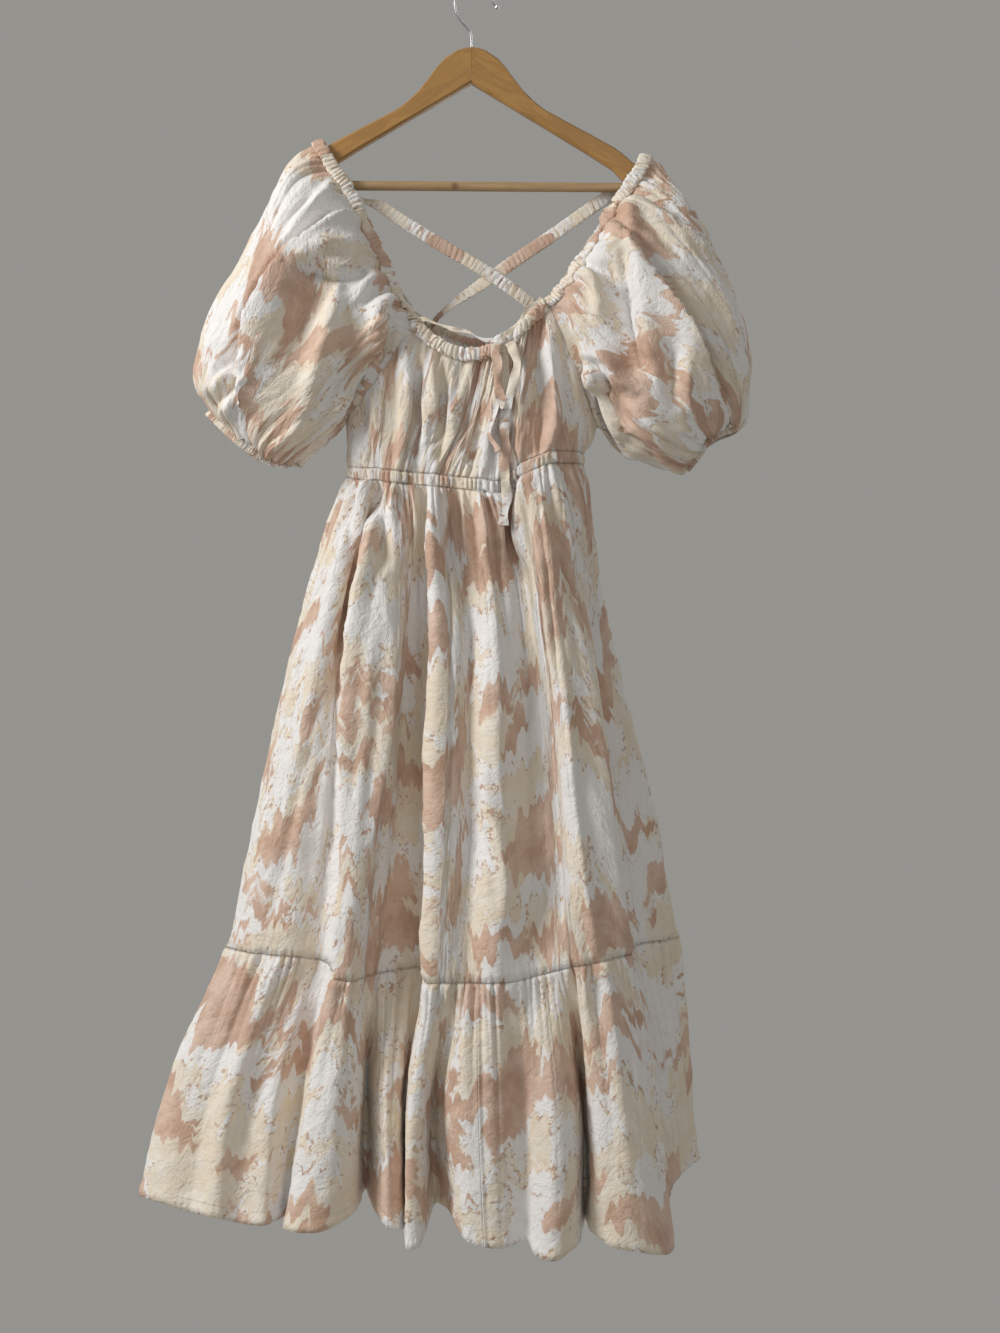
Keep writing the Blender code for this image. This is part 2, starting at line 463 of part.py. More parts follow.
def wall(name, grid, normals, thickness, surface, ring=False, seams=()):
    """Make a closed cloth wall: the outer points and the same points moved in."""
    outer = grid.copy()
    inner = grid - normals * thickness
    pull_edges(outer, inner, seams)
    rows, cols = outer.shape[:2]
    across = cols if ring else cols - 1
    points = np.concatenate([outer.reshape(-1, 3), inner.reshape(-1, 3)])
    base = rows * cols

    def at(r, c):
        return r * cols + c % cols

    faces = []
    for r in range(rows - 1):
        for c in range(across):
            quad = (at(r, c), at(r + 1, c), at(r + 1, c + 1), at(r, c + 1))
            faces.append(quad)
            faces.append(tuple(base + k for k in reversed(quad)))
    for c in range(across):
        faces.append((at(0, c), at(0, c + 1), base + at(0, c + 1), base + at(0, c)))
        low = rows - 1
        faces.append((at(low, c + 1), at(low, c), base + at(low, c), base + at(low, c + 1)))
    if not ring:
        for r in range(rows - 1):
            faces.append((at(r + 1, 0), at(r, 0), base + at(r, 0), base + at(r + 1, 0)))
            end = cols - 1
            faces.append((at(r, end), at(r + 1, end), base + at(r + 1, end), base + at(r, end)))
    return solid(name, points, faces, surface)


def sweep(name, centres, ups, sides, section, surface):
    """Make a closed bar: the section at every centre, with flat ends."""
    rings = [c + u * s[0] + n * s[1] for c, u, n in zip(centres, ups, sides) for s in section]
    count = len(section)
    last = (len(centres) - 1) * count
    faces = [(r * count + k, r * count + (k + 1) % count, (r + 1) * count + (k + 1) % count,
              (r + 1) * count + k) for r in range(len(centres) - 1) for k in range(count)]
    faces.append(tuple(reversed(range(count))))
    faces.append(tuple(last + k for k in range(count)))
    return solid(name, rings, faces, surface)


def band_section(height, thickness):
    """Return the flattened section of an elastic casing."""
    h, t = height / 2, thickness / 2
    return [(h, 0.3 * t), (0, t), (-h, 0.3 * t), (-h, -0.3 * t), (0, -t), (h, -0.3 * t)]


def casing(name, edge, inward, normals, trims, surface):
    """Make an elastic casing that stands on an open edge of the cloth."""
    path = edge - normals * WALL / 2
    along = unit(np.gradient(path, axis=0))
    ups = unit(-inward - (along * -inward).sum(axis=1, keepdims=True) * along)
    sides = unit(normals - (normals * ups).sum(axis=1, keepdims=True) * ups)
    centres = path + ups * (SEAM_GAP + CASING_HEIGHT / 2)
    walk = np.concatenate([[0], np.cumsum(np.linalg.norm(np.diff(centres, axis=0), axis=1))])
    keep = np.concatenate([[trims[0]], walk[(walk > trims[0] + 2) & (walk < walk[-1] - trims[1] - 2)],
                           [walk[-1] - trims[1]]])

    def read(values):
        return np.stack([np.interp(keep, walk, values[:, k]) for k in range(3)], axis=1)

    return sweep(name, read(centres), unit(read(ups)), unit(read(sides)),
                 band_section(CASING_HEIGHT, CASING_THICKNESS), surface)


def ribbon(name, rows, width, thickness, surface, per_step=2):
    """Make a flat ribbon along a path with its across direction."""
    rows = np.array(rows, float)
    places = np.linspace(0, len(rows) - 1, (len(rows) - 1) * per_step + 1)
    read = through(rows, places)
    centres = read[:, :3]
    along = unit(np.gradient(centres, axis=0))
    across = read[:, 3:] - (read[:, 3:] * along).sum(axis=1, keepdims=True) * along
    across = unit(across)
    sides = np.cross(along, across)
    w, t = width / 2, thickness / 2
    section = [(w, t), (-w, t), (-w, -t), (w, -t)]
    return sweep(name, centres, across, sides, section, surface)


def cut(target, tool):
    """Take the tool's shape out of the target."""
    step = target.modifiers.new("cut", "BOOLEAN")
    step.operation = "DIFFERENCE"
    step.solver = "EXACT"
    step.object = tool
    bpy.context.view_layer.objects.active = target
    bpy.ops.object.select_all(action="DESELECT")
    target.select_set(True)
    bpy.ops.object.modifier_apply(modifier=step.name)


def rod(name, start, end, radius, surface, sides=16):
    """Make a round bar between two places."""
    start, end = np.array(start, float), np.array(end, float)
    along = unit(end - start)
    across = unit(np.cross(along, (0.0, 1.0, 0.0)))
    up = np.cross(across, along)
    section = [(radius * math.cos(2 * math.pi * k / sides), radius * math.sin(2 * math.pi * k / sides))
               for k in range(sides)]
    return sweep(name, [start, end], [across] * 2, [up] * 2, section, surface)


def hanger_arm(name, side, drop, surface):
    """Make one wooden arm from its joint outwards."""
    points = []
    for station, out, top, bottom, half, corner in ARM:
        reach = max(out, JOINT_GAP / 2)
        x = JOINT_X + side * reach
        top += drop * out / 193
        bottom += drop * out / 193
        section = [(half, top - corner), (half - corner, top), (-half + corner, top), (-half, top - corner),
                   (-half, bottom + corner), (-half + corner, bottom), (half - corner, bottom),
                   (half, bottom + corner)]
        points += [(x, y, z) for y, z in section]
    faces = []
    rings = len(ARM)
    for r in range(rings - 1):
        for k in range(8):
            quad = (r * 8 + k, (r + 1) * 8 + k, (r + 1) * 8 + (k + 1) % 8, r * 8 + (k + 1) % 8)
            faces.append(quad if side > 0 else tuple(reversed(quad)))
    first = tuple(range(8))
    last = tuple((rings - 1) * 8 + k for k in range(8))
    faces.append(first if side > 0 else tuple(reversed(first)))
    faces.append(tuple(reversed(last)) if side > 0 else last)
    return solid(name, points, faces, surface)


def hanger(wood, bar_wood, steel):
    """Make the wooden arms, the trouser bar and the wire hook."""
    left = hanger_arm("hanger_arm_left", -1, 0.0, wood)
    right = hanger_arm("hanger_arm_right", 1, RIGHT_ARM_DROP, wood)
    ends = [np.array((BAR_LEFT[0], 0, BAR_LEFT[1])), np.array((BAR_RIGHT[0], 0, BAR_RIGHT[1]))]
    along = unit(ends[1] - ends[0])
    rod("hanger_bar", ends[0], ends[1], BAR_RADIUS, bar_wood)
    bore = rod("bore", ends[0] - along * BORE_PLAY, ends[1] + along * BORE_PLAY,
               BAR_RADIUS + BORE_PLAY, wood)
    hole = rod("hole", (JOINT_X, 0, -100 - BORE_PLAY), (JOINT_X, 0, -60), WIRE_RADIUS + BORE_PLAY, wood, 12)
    for arm in (left, right):
        cut(arm, bore)
        cut(arm, hole)
    for tool in (bore, hole):
        bpy.data.objects.remove(tool)
    path = np.array([(x, 0.0, z) for x, z in HOOK])
    centres = through(path, np.linspace(0, len(path) - 1, (len(path) - 1) * 2 + 1))
    along = unit(np.gradient(centres, axis=0))
    ups = np.cross(along, np.tile((0.0, 1.0, 0.0), (len(along), 1)))
    sides = np.tile((0.0, 1.0, 0.0), (len(along), 1))
    radii = np.full(len(centres), WIRE_RADIUS)
    tip = centres[-1] + along[-1] * np.array([0.6, 1.6, 2.8, 4.0, 4.8])[:, None]
    centres = np.concatenate([centres, tip])
    radii = np.concatenate([radii, [2.0, BALL_RADIUS + 0.2, BALL_RADIUS, 1.5, 0.6]])
    ups = np.concatenate([ups, np.repeat(ups[-1:], 5, axis=0)])
    sides = np.concatenate([sides, np.repeat(sides[-1:], 5, axis=0)])
    ring = [(math.cos(2 * math.pi * k / 8), math.sin(2 * math.pi * k / 8)) for k in range(8)]
    points = [c + (u * s[0] + n * s[1]) * r for c, u, n, r in zip(centres, ups, sides, radii) for s in ring]
    faces = [(r * 8 + k, r * 8 + (k + 1) % 8, (r + 1) * 8 + (k + 1) % 8, (r + 1) * 8 + k)
             for r in range(len(centres) - 1) for k in range(8)]
    faces.append(tuple(reversed(range(8))))
    faces.append(tuple((len(centres) - 1) * 8 + k for k in range(8)))
    solid("hanger_hook", points, faces, steel)


def dress(cloth):
    """Make every cloth piece."""
    grid, normals, places, rows = body_grid()
    side_right = [row[0] for row in BODY].index("side_right")
    names = [row[0] for row in BODY]
    near = np.where(places <= side_right + 1e-6)[0]
    far = np.append(np.where(places >= side_right - 1e-6)[0], 0)
    panel = 11.5
    near_left = np.where(places <= panel + 1e-6)[0]
    near_right = np.where((places >= panel - 1e-6) & (places <= side_right + 1e-6))[0]
    neck, top, bottom, tier, hem = (rows[k] for k in ("neck", "band_top", "band_bottom", "tier", "hem"))

    def piece(name, first, last, cols, thickness, seams):
        points = grid[first:last + 1][:, cols].copy()
        if first == neck:
            points[0, [0, 1, -2, -1], 2] -= UNDERARM_EASE
        wall(name, points, normals[first:last + 1][:, cols], thickness, cloth, seams=seams)

    piece("bodice_front", neck, top, near, WALL, ("top", "bottom", "left", "right"))
    piece("bodice_back", neck, top, far, WALL, ("top", "bottom", "left", "right"))
    piece("waist_casing_front", top, bottom, near, WALL + WAIST_RISE, ("top", "bottom", "left", "right"))
    piece("waist_casing_back", top, bottom, far, WALL + WAIST_RISE, ("top", "bottom", "left", "right"))
    piece("skirt_front", bottom, tier, near, WALL, ("top", "bottom", "left", "right"))
    piece("skirt_back", bottom, tier, far, WALL, ("top", "bottom", "left", "right"))
    piece("flounce_front_left", tier, hem, near_left, WALL, ("top", "left", "right"))
    piece("flounce_front_right", tier, hem, near_right, WALL, ("top", "left", "right"))
    piece("flounce_back", tier, hem, far, WALL, ("top", "left", "right"))

    corners = {side: (names.index(a), names.index(b)) for side, a, b in
               (("left", "panel_mid", "back_j"), ("right", "raised_right", "back_c"))}
    for side, head, rings, folds, low, sign in (
            ("left", LEFT_HEAD, LEFT_SLEEVE, LEFT_FOLDS, 0, -1),
            ("right", RIGHT_HEAD, RIGHT_SLEEVE, RIGHT_FOLDS, side_right, 1)):
        front_corner, back_corner = corners[side]
        points, turned, raglan, over = sleeve_grid(head, rings, folds, grid, normals, places,
                                                   front_corner, low, back_corner, sign)
        wall("sleeve_" + side, points[:CUFF_START + 1], turned[:CUFF_START + 1], WALL, cloth, True,
             ("top", "bottom"))
        wall("cuff_" + side, points[CUFF_START:], turned[CUFF_START:], WALL + CUFF_RISE, cloth, True, ("top",))
        run = slice(raglan - 1, raglan + over + 1)
        casing("neck_casing_" + side, points[0, run], points[1, run] - points[0, run], turned[0, run],
               (3.0, 3.0), cloth)
    for name, first, last in (("front", corners["left"][0], corners["right"][0]),
                              ("back", corners["right"][1], corners["left"][1])):
        cols = np.where((places >= first - 1e-6) & (places <= last + 1e-6))[0]
        casing("neck_casing_" + name, grid[0, cols], grid[1, cols] - grid[0, cols], normals[0, cols],
               (3.0, 3.0), cloth)
    ribbon("back_strap_left", STRAP_LEFT_UP, STRAP_WIDTH, STRAP_THICKNESS, cloth)
    ribbon("back_strap_right", STRAP_RIGHT_UP, STRAP_WIDTH, STRAP_THICKNESS, cloth)
    ribbon("neck_drawstring_left", DRAWSTRING_LEFT, 5.0, RIBBON_THICKNESS, cloth)
    ribbon("neck_drawstring_right", DRAWSTRING_RIGHT, 8.0, RIBBON_THICKNESS, cloth)
    ribbon("tie_loop", TIE_LOOP, TIE_WIDTH - 1, RIBBON_THICKNESS, cloth)
    ribbon("tie_end_short", TIE_END_SHORT, 8.0, RIBBON_THICKNESS, cloth)
    ribbon("tie_end_long", TIE_END_LONG, TIE_WIDTH, RIBBON_THICKNESS, cloth)
    knot(cloth)


def knot(cloth):
    """Make the bow's knot as a small rounded lump."""
    points = []
    rings, around = 6, 10
    for r in range(1, rings):
        lift = math.pi * r / rings
        for k in range(around):
            turn = 2 * math.pi * k / around
            points.append([KNOT_CENTRE[0] + KNOT_RADII[0] * math.sin(lift) * math.cos(turn),
                           KNOT_CENTRE[1] + KNOT_RADII[1] * math.sin(lift) * math.sin(turn),
                           KNOT_CENTRE[2] + KNOT_RADII[2] * math.cos(lift)])
    faces = [(r * around + k, (r + 1) * around + k, (r + 1) * around + (k + 1) % around,
              r * around + (k + 1) % around) for r in range(rings - 2) for k in range(around)]
    faces.append(tuple(range(around)))
    faces.append(tuple(reversed([(rings - 2) * around + k for k in range(around)])))
    solid("tie_knot", points, faces, cloth)


def main():
    """Build the whole part."""
    for old in list(bpy.data.objects):
        bpy.data.objects.remove(old)
    cloth = material("cotton", (0.72, 0.58, 0.46), 0.85)
    wood = material("wood", (0.40, 0.21, 0.08), 0.45)
    bar_wood = material("bar_wood", (0.52, 0.32, 0.16), 0.5)
    steel = material("chrome", (0.75, 0.75, 0.76), 0.15, 1.0)
    hanger(wood, bar_wood, steel)
    dress(cloth)


main()
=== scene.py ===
"""Looks of the puff sleeve midi dress on its wooden hanger. Tables in millimetres, Blender in metres."""
import math

import bpy
import numpy as np
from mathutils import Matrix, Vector, noise


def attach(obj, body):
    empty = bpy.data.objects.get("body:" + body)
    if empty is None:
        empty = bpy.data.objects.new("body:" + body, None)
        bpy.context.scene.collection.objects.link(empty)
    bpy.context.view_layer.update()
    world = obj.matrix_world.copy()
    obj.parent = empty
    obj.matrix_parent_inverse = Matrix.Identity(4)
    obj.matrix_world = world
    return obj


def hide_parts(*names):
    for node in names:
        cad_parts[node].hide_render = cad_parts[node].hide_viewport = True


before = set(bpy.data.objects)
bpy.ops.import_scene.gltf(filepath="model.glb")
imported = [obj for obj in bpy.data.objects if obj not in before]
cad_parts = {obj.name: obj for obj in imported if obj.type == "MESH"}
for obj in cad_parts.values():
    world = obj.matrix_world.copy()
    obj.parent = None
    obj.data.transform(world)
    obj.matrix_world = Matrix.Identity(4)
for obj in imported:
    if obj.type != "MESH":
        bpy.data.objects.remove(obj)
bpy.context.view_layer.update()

MM = 0.001
NEAR = 1e-6
FRONT, BACK = -1, 1

# Cloth and trims.
SHELL = 0.7
CUFF_SHELL = 1.6
SEAM_GAP = 0.3
CASING_HEIGHT = 9.0
RUCHED_HEIGHT = 14.0
CASING_OUT = 2.6
CASING_TRIM = 3.0
WAIST_BAND = 13.0
HEM_TURN_UP = 12.0
STRAP_SIZE = (14.0, 2.0)
TIE_THICKNESS = 1.0
TUBE_SIDES = 16

# Levels of the skirt between waist and seam, and the body line at the flounce's upright seam.
UPPER_SKIRT_LEVEL = -700.0
LOWER_SKIRT_LEVEL = -889.0
PANEL_SEAM = 11.5

# Mesh steps.
STEPS_PER_LINE = 16
BODICE_ROWS = 40
BAND_ROWS = 8
SKIRT_ROWS = 66
FLOUNCE_ROWS = 44
RIBBON_STEP = 0.8

# Creases: a line up to this wide is crisp, with the cloth beside it tucked in.
CRISP_WIDTH = 6.5
TUCK_SHARE = 0.55
CREASE_GAIN = 1.8

# Sleeves: how far the cloth hangs over the cuff, and the lean of the print.
OVERHANG = 9.0
PRINT_LEAN = 28.0

# One row per fold line round the body: neck edge, bodice middle, waist, two skirt levels, tier seam.
BODY_COLUMNS = ("top_x top_y top_z mid_x mid_y mid_z waist_x waist_y waist_z "
                "upper_x upper_y lower_x lower_y seam_x seam_y seam_z").split()
BODY = [
    ("side_left", -141, 0, -485, -139, -3, -514, -138, -4, -542, -189, -3, -234, -5, -270, -5, -1065),
    ("left_roll", -130, -16, -474, -128, -20, -512, -128, -22, -546, -175, -26, -215, -32, -240, -34, -1066),
    ("left_face", -112, -28, -454, -112, -33, -502, -113, -31, -548, -152, -38, -182, -44, -198, -48, -1068),
    ("left_dip", -94, -33, -428, -98, -31, -489, -104, -33, -548, -140, -30, -154, -34, -164, -38, -1074),
    ("panel_left", -77, -35, -404, -87, -38, -478, -98, -38, -550, -132, -54, -139, -64, -142, -80, -1086),
    ("panel_mid", -62, -34, -394, -76, -42, -476, -89, -40, -551, -108, -60, -117, -68, -131, -82, -1088),
    ("panel_right", -48, -35, -406, -63, -36, -478, -78, -39, -552, -78, -52, -94, -60, -119, -68, -1086),
    ("recess", -34, -37, -415, -49, -43, -482, -67, -37, -553, -71, -22, -77, -22, -86, -28, -1085),
    ("recess_right", -20, -38, -420, -36, -36, -484, -59, -37, -554, -54, -24, -55, -26, -59, -30, -1082),
    ("edge", -7, -39, -422, -23, -43, -487, -50, -41, -555, -41, -50, -41, -58, -49, -80, -1090),
    ("face", 5, -39, -422, -11, -38, -487, -37, -42, -556, -23, -52, -24, -62, -30, -86, -1089),
    ("soft_dip", 16, -39, -419, 1, -44, -489, -21, -41, -558, -6, -44, -5, -54, -7, -80, -1090),
    ("ridge", 25, -39, -415, 11, -40, -487, -5, -44, -560, 14, -56, 17, -68, 15, -88, -1089),
    ("ridge_right", 34, -39, -409, 21, -43, -487, 10, -43, -561, 30, -52, 36, -64, 43, -84, -1088),
    ("dip", 43, -38, -402, 31, -36, -482, 24, -41, -563, 49, -42, 56, -54, 64, -76, -1084),
    ("notch", 51, -37, -393, 43, -36, -477, 36, -26, -554, 60, -46, 70, -60, 82, -78, -1079),
    ("raised_left", 61, -35, -383, 54, -42, -469, 50, -44, -544, 71, -55, 87, -69, 103, -82, -1073),
    ("raised_mid", 71, -33, -374, 68, -44, -461, 67, -49, -537, 84, -58, 104, -72, 124, -80, -1070),
    ("raised_right", 79, -31, -367, 82, -40, -456, 83, -46, -531, 98, -53, 121, -66, 144, -74, -1066),
    ("step", 92, -33, -392, 95, -40, -465, 93, -38, -530, 110, -45, 134, -55, 157, -67, -1064),
    ("right_roll", 105, -30, -424, 110, -30, -478, 104, -28, -529, 122, -28, 150, -34, 168, -52, -1064),
    ("inner_turn", 121, -17, -460, 124, -15, -492, 114, -14, -528, 123, -8, 149, -8, 168, -22, -1064),
    ("side_right", 134, 2, -493, 129, 0, -512, 118, -2, -529, 127, 6, 156, 12, 181, -2, -1061),
    ("back_inner", 131, 9, -482, 126, 6, -506, 119, 4, -530, 132, 14, 174, 22, 201, 20, -1062),
    ("back_roll", 123, 18, -461, 123, 18, -496, 118, 14, -529, 140, 26, 194, 38, 227, 44, -1060),
    ("back_a", 108, 26, -424, 109, 28, -479, 108, 25, -530, 127, 46, 170, 64, 199, 74, -1061),
    ("back_b", 92, 28, -387, 91, 30, -460, 90, 31, -532, 102, 40, 136, 52, 157, 62, -1064),
    ("back_c", 79, 25, -358, 73, 34, -446, 71, 35, -534, 78, 54, 101, 76, 117, 88, -1065),
    ("back_d", 59, 28, -375, 54, 32, -456, 51, 33, -536, 52, 42, 64, 56, 73, 64, -1066),
    ("back_e", 41, 30, -388, 33, 36, -462, 28, 36, -537, 25, 56, 28, 80, 30, 92, -1067),
    ("back_f", 20, 31, -397, 10, 33, -467, 3, 34, -538, -2, 42, -6, 56, -9, 64, -1068),
    ("back_g", -2, 31, -398, -14, 37, -467, -23, 36, -539, -30, 56, -44, 78, -53, 92, -1069),
    ("back_h", -23, 30, -392, -36, 33, -464, -49, 34, -539, -58, 42, -77, 54, -91, 62, -1070),
    ("back_i", -43, 27, -383, -59, 35, -460, -73, 35, -539, -87, 52, -114, 72, -133, 84, -1072),
    ("back_j", -59, 25, -379, -79, 31, -460, -97, 31, -540, -113, 40, -149, 50, -174, 56, -1073),
    ("back_k", -84, 27, -411, -100, 29, -468, -117, 23, -541, -146, 36, -187, 50, -217, 56, -1073),
    ("back_l", -115, 22, -452, -124, 18, -493, -132, 11, -541, -172, 18, -218, 24, -252, 28, -1074),
]

# One row per fold line of the flounce: its place on the body lines, its middle and its hem.
FLOUNCE_COLUMNS = "line middle_x middle_y middle_z hem_x hem_y hem_z".split()
FLOUNCE = [
    ("side_left", 0, -342, -8, -1230, -365, -12, -1334),
    ("left_a", 0.6, -313, -32, -1225, -335, -40, -1334),
    ("left_b", 1.2, -289, -34, -1224, -307, -44, -1341),
    ("left_c", 1.7, -261, -54, -1221, -276, -64, -1342),
    ("left_d", 2.2, -239, -44, -1225, -252, -56, -1350),
    ("left_e", 2.7, -213, -54, -1222, -224, -64, -1350),
    ("recess_1", 3.2, -189, -32, -1225, -204, -34, -1350),
    ("fold2_left", 4.0, -170, -84, -1212, -196, -88, -1347),
    ("fold2_mid", 5.0, -145, -94, -1214, -162, -100, -1345),
    ("fold2_right", 5.8, -124, -76, -1219, -131, -80, -1335),
    ("recess_2", 6.3, -118, -20, -1228, -119, -12, -1326),
    ("fold3_left", 6.6, -102, -66, -1216, -99, -76, -1339),
    ("fold3_mid", 7.1, -89, -76, -1219, -87, -86, -1347),
    ("fold3_right", 7.6, -78, -62, -1217, -76, -72, -1351),
    ("recess_3", 8.2, -73, -38, -1223, -70, -44, -1345),
    ("fold4_left", 9.0, -67, -92, -1220, -70, -110, -1361),
    ("fold4_right", 9.6, -54, -92, -1220, -58, -108, -1359),
    ("recess_4", 10.1, -44, -42, -1233, -43, -34, -1336),
    ("fold5_left", 10.6, -30, -80, -1223, -23, -80, -1332),
    ("fold5_a", 11.0, -13, -100, -1218, -8, -106, -1351),
    ("fold5_b", 11.5, 5, -104, -1217, 11, -112, -1357),
    ("fold5_c", 12.3, 28, -98, -1219, 32, -108, -1359),
    ("fold5_d", 13.0, 52, -84, -1217, 55, -94, -1356),
    ("fold6_left", 13.8, 66, -96, -1214, 67, -112, -1367),
    ("fold6_mid", 14.4, 84, -106, -1211, 85, -122, -1368),
    ("fold6_right", 15.1, 102, -92, -1215, 104, -106, -1360),
    ("recess_5", 15.7, 116, -34, -1219, 120, -28, -1352),
    ("fold7_left", 16.3, 123, -84, -1217, 126, -88, -1350),
    ("fold7_a", 17.0, 140, -98, -1214, 146, -106, -1359),
    ("fold7_b", 18.0, 161, -98, -1214, 173, -108, -1364),
    ("fold7_c", 19.0, 180, -86, -1211, 194, -98, -1370),
    ("fold7_right", 20.0, 196, -56, -1217, 210, -62, -1375),
    ("turn", 21.0, 198, -16, -1218, 210, -18, -1337),
    ("side_right", 22.0, 212, 0, -1211, 221, 2, -1319),
    ("back_inner", 23.0, 225, 16, -1212, 230, 24, -1320),
    ("back_roll", 24.0, 242, 42, -1228, 250, 54, -1311),
    ("back_a", 25.0, 218, 80, -1232, 224, 94, -1315),
    ("back_b", 26.0, 182, 62, -1232, 190, 70, -1320),
    ("back_c", 27.0, 132, 98, -1232, 140, 116, -1328),
    ("back_d", 28.0, 71, 70, -1232, 69, 78, -1328),
    ("back_e", 29.0, 28, 96, -1232, 28, 108, -1334),
    ("back_f", 30.0, -9, 60, -1234, -7, 66, -1335),
    ("back_g", 31.0, -56, 104, -1234, -66, 124, -1339),
    ("back_h", 32.0, -114, 68, -1236, -128, 74, -1342),
    ("back_i", 33.0, -157, 90, -1238, -172, 102, -1345),
    ("back_j", 34.0, -196, 52, -1239, -210, 54, -1348),
    ("back_k", 35.0, -257, 66, -1241, -283, 74, -1351),
    ("back_l", 36.0, -308, 30, -1243, -335, 32, -1352),
]

# Edge of each sleeve head under its casing, from the front corner over the hanger to the back.
HEAD_COLUMNS = "left_x left_y left_z right_x right_y right_z".split()
HEADS = [
    ("front_low", -75, -30, -372, 91, -28, -356),
    ("front_mid", -91, -25, -342, 109, -24, -331),
    ("front_high", -111, -19, -300, 131, -18, -295),
    ("at_bar", -134, -15, -250, 156, -15, -254),
    ("arm_low", -153, -13, -219, 172, -13, -231),
    ("arm_front", -166, -12, -200, 183, -12, -214),
    ("arm_edge", -171, -9, -190, 187, -9, -205),
    ("arm_top", -174, 0, -183, 190, 0, -198),
    ("arm_edge_back", -172, 9, -186, 188, 9, -201),
    ("arm_back", -166, 12, -196, 182, 12, -211),
    ("back_arm_low", -153, 13, -217, 172, 13, -229),
    ("back_bar", -134, 15, -250, 156, 15, -253),
    ("back_high", -112, 18, -298, 133, 18, -291),
    ("back_mid", -94, 21, -336, 111, 20, -326),
    ("back_low", -77, 23, -364, 94, 22, -350),
]

# One row per ring of a sleeve: six places from its lower edge to its upper edge, and two depths.
SLEEVE_COLUMNS = ("x0 z0 x1 z1 x2 z2 x3 z3 x4 z4 x5 z5 front back").split()
LEFT_SLEEVE = [
    ("ring_1", -148, -490, -109, -427, -85, -376, -118, -313, -153, -241, -188, -189, 38, 30),
    ("ring_2", -154, -498, -124, -444, -104, -391, -140, -324, -176, -250, -205, -203, 50, 38),
    ("ring_3", -161, -507, -138, -471, -132, -418, -171, -354, -205, -284, -230, -253, 60, 46),
    ("ring_4", -168, -514, -157, -486, -164, -441, -203, -393, -237, -343, -261, -311, 66, 52),
    ("ring_5", -176, -520, -179, -502, -196, -467, -237, -432, -268, -391, -292, -363, 62, 50),
    ("ring_6", -184, -526, -199, -516, -226, -490, -262, -464, -290, -436, -308, -416, 50, 42),
    ("ring_7", -190, -529, -214, -524, -240, -508, -267, -483, -290, -466, -306, -451, 36, 30),
    ("ring_8", -194, -528, -212, -527, -234, -519, -256, -504, -274, -486, -289, -472, 26, 24),
    ("cuff_end", -196, -536, -215, -536, -239, -528, -262, -513, -281, -495, -297, -479, 22, 22),
]
RIGHT_SLEEVE = [
    ("ring_1", 144, -497, 123, -432, 96, -371, 128, -320, 168, -254, 204, -202, 38, 30),
    ("ring_2", 152, -508, 129, -455, 115, -400, 148, -342, 190, -267, 217, -221, 50, 38),
    ("ring_3", 160, -517, 139, -482, 145, -431, 181, -367, 219, -297, 238, -255, 60, 46),
    ("ring_4", 164, -524, 152, -500, 176, -449, 212, -390, 249, -339, 268, -306, 66, 52),
    ("ring_5", 184, -530, 180, -514, 206, -468, 241, -421, 273, -383, 290, -360, 62, 50),
    ("ring_6", 204, -538, 205, -524, 231, -486, 263, -455, 289, -434, 304, -414, 50, 42),
    ("ring_7", 221, -541, 227, -530, 248, -500, 274, -481, 292, -472, 300, -462, 34, 32),
    ("ring_8", 230, -536, 239, -522, 251, -506, 269, -496, 285, -490, 295, -482, 24, 26),
    ("cuff_end", 236, -542, 247, -528, 257, -514, 271, -505, 287, -499, 299, -489, 20, 24),
]
CUFF_PLACE = 8.0
SLEEVE_PLACES = np.concatenate([np.linspace(0, 1, 18)[:-1], np.linspace(1, 6.6, 66)[:-1],
                                np.linspace(6.6, CUFF_PLACE, 20)])
CUFF_PLACES = np.linspace(CUFF_PLACE, 9, 9)

# Gathers pinched at a seam. Columns: part of the body, seam, how many go round, a seed for their
# unevenness, their height, their shortest and longest run, and how far from the seam they are held flat.
BODY_GATHERS = [
    ("bodice", "neck", 62, 0.7, 5.0, 20, 70, 3.0),
    ("bodice", "neck", 29, 2.1, 6.0, 60, 170, 12.0),
    ("bodice", "band_top", 64, 1.3, 4.0, 12, 46, 3.0),
    ("bodice", "band_top", 27, 0.4, 5.0, 40, 120, 10.0),
    ("skirt", "band_low", 66, 1.9, 5.0, 20, 84, 4.0),
    ("skirt", "band_low", 28, 0.2, 9.0, 70, 260, 14.0),
    ("skirt", "band_low", 38, 3.1, 6.5, 190, 460, 24.0),
    ("skirt", "tier", 120, 0.5, 1.2, 8, 26, 2.0),
    ("flounce", "tier", 126, 1.1, 6.0, 24, 100, 4.0),
    ("flounce", "tier", 57, 2.6, 9.5, 70, 210, 10.0),
    ("flounce", "tier", 45, 4.2, 8.5, 120, 340, 26.0),
]
# Columns as for the body, without the part: seeds are added to the sleeve's own.
SLEEVE_GATHERS = [
    ("head", 74, 0, 5.0, 18, 90, 3.0),
    ("head", 33, 1, 6.5, 50, 190, 12.0),
    ("cuff", 66, 2, 3.2, 12, 50, 3.0),
    ("cuff", 29, 3, 5.0, 40, 130, 10.0),
]

# Ruching of the flat elastic bands: height of the band, height of its pleats and how many go round.
WAIST_RUCHING = (1.2, 3.6, 96)
CUFF_RUCHING = (1.2, 3.2, 92)

# Pressed-in creases and broad dents of the cloth: height, size and seed of each.
BODY_WEAR = ((0.9, 46.0, 3.0), (0.5, 21.0, 7.0), (2.2, 75.0, 11.0))
SLEEVE_WEAR = ((0.9, 44.0, 5.0), (0.5, 20.0, 8.0), (2.5, 70.0, 12.0))

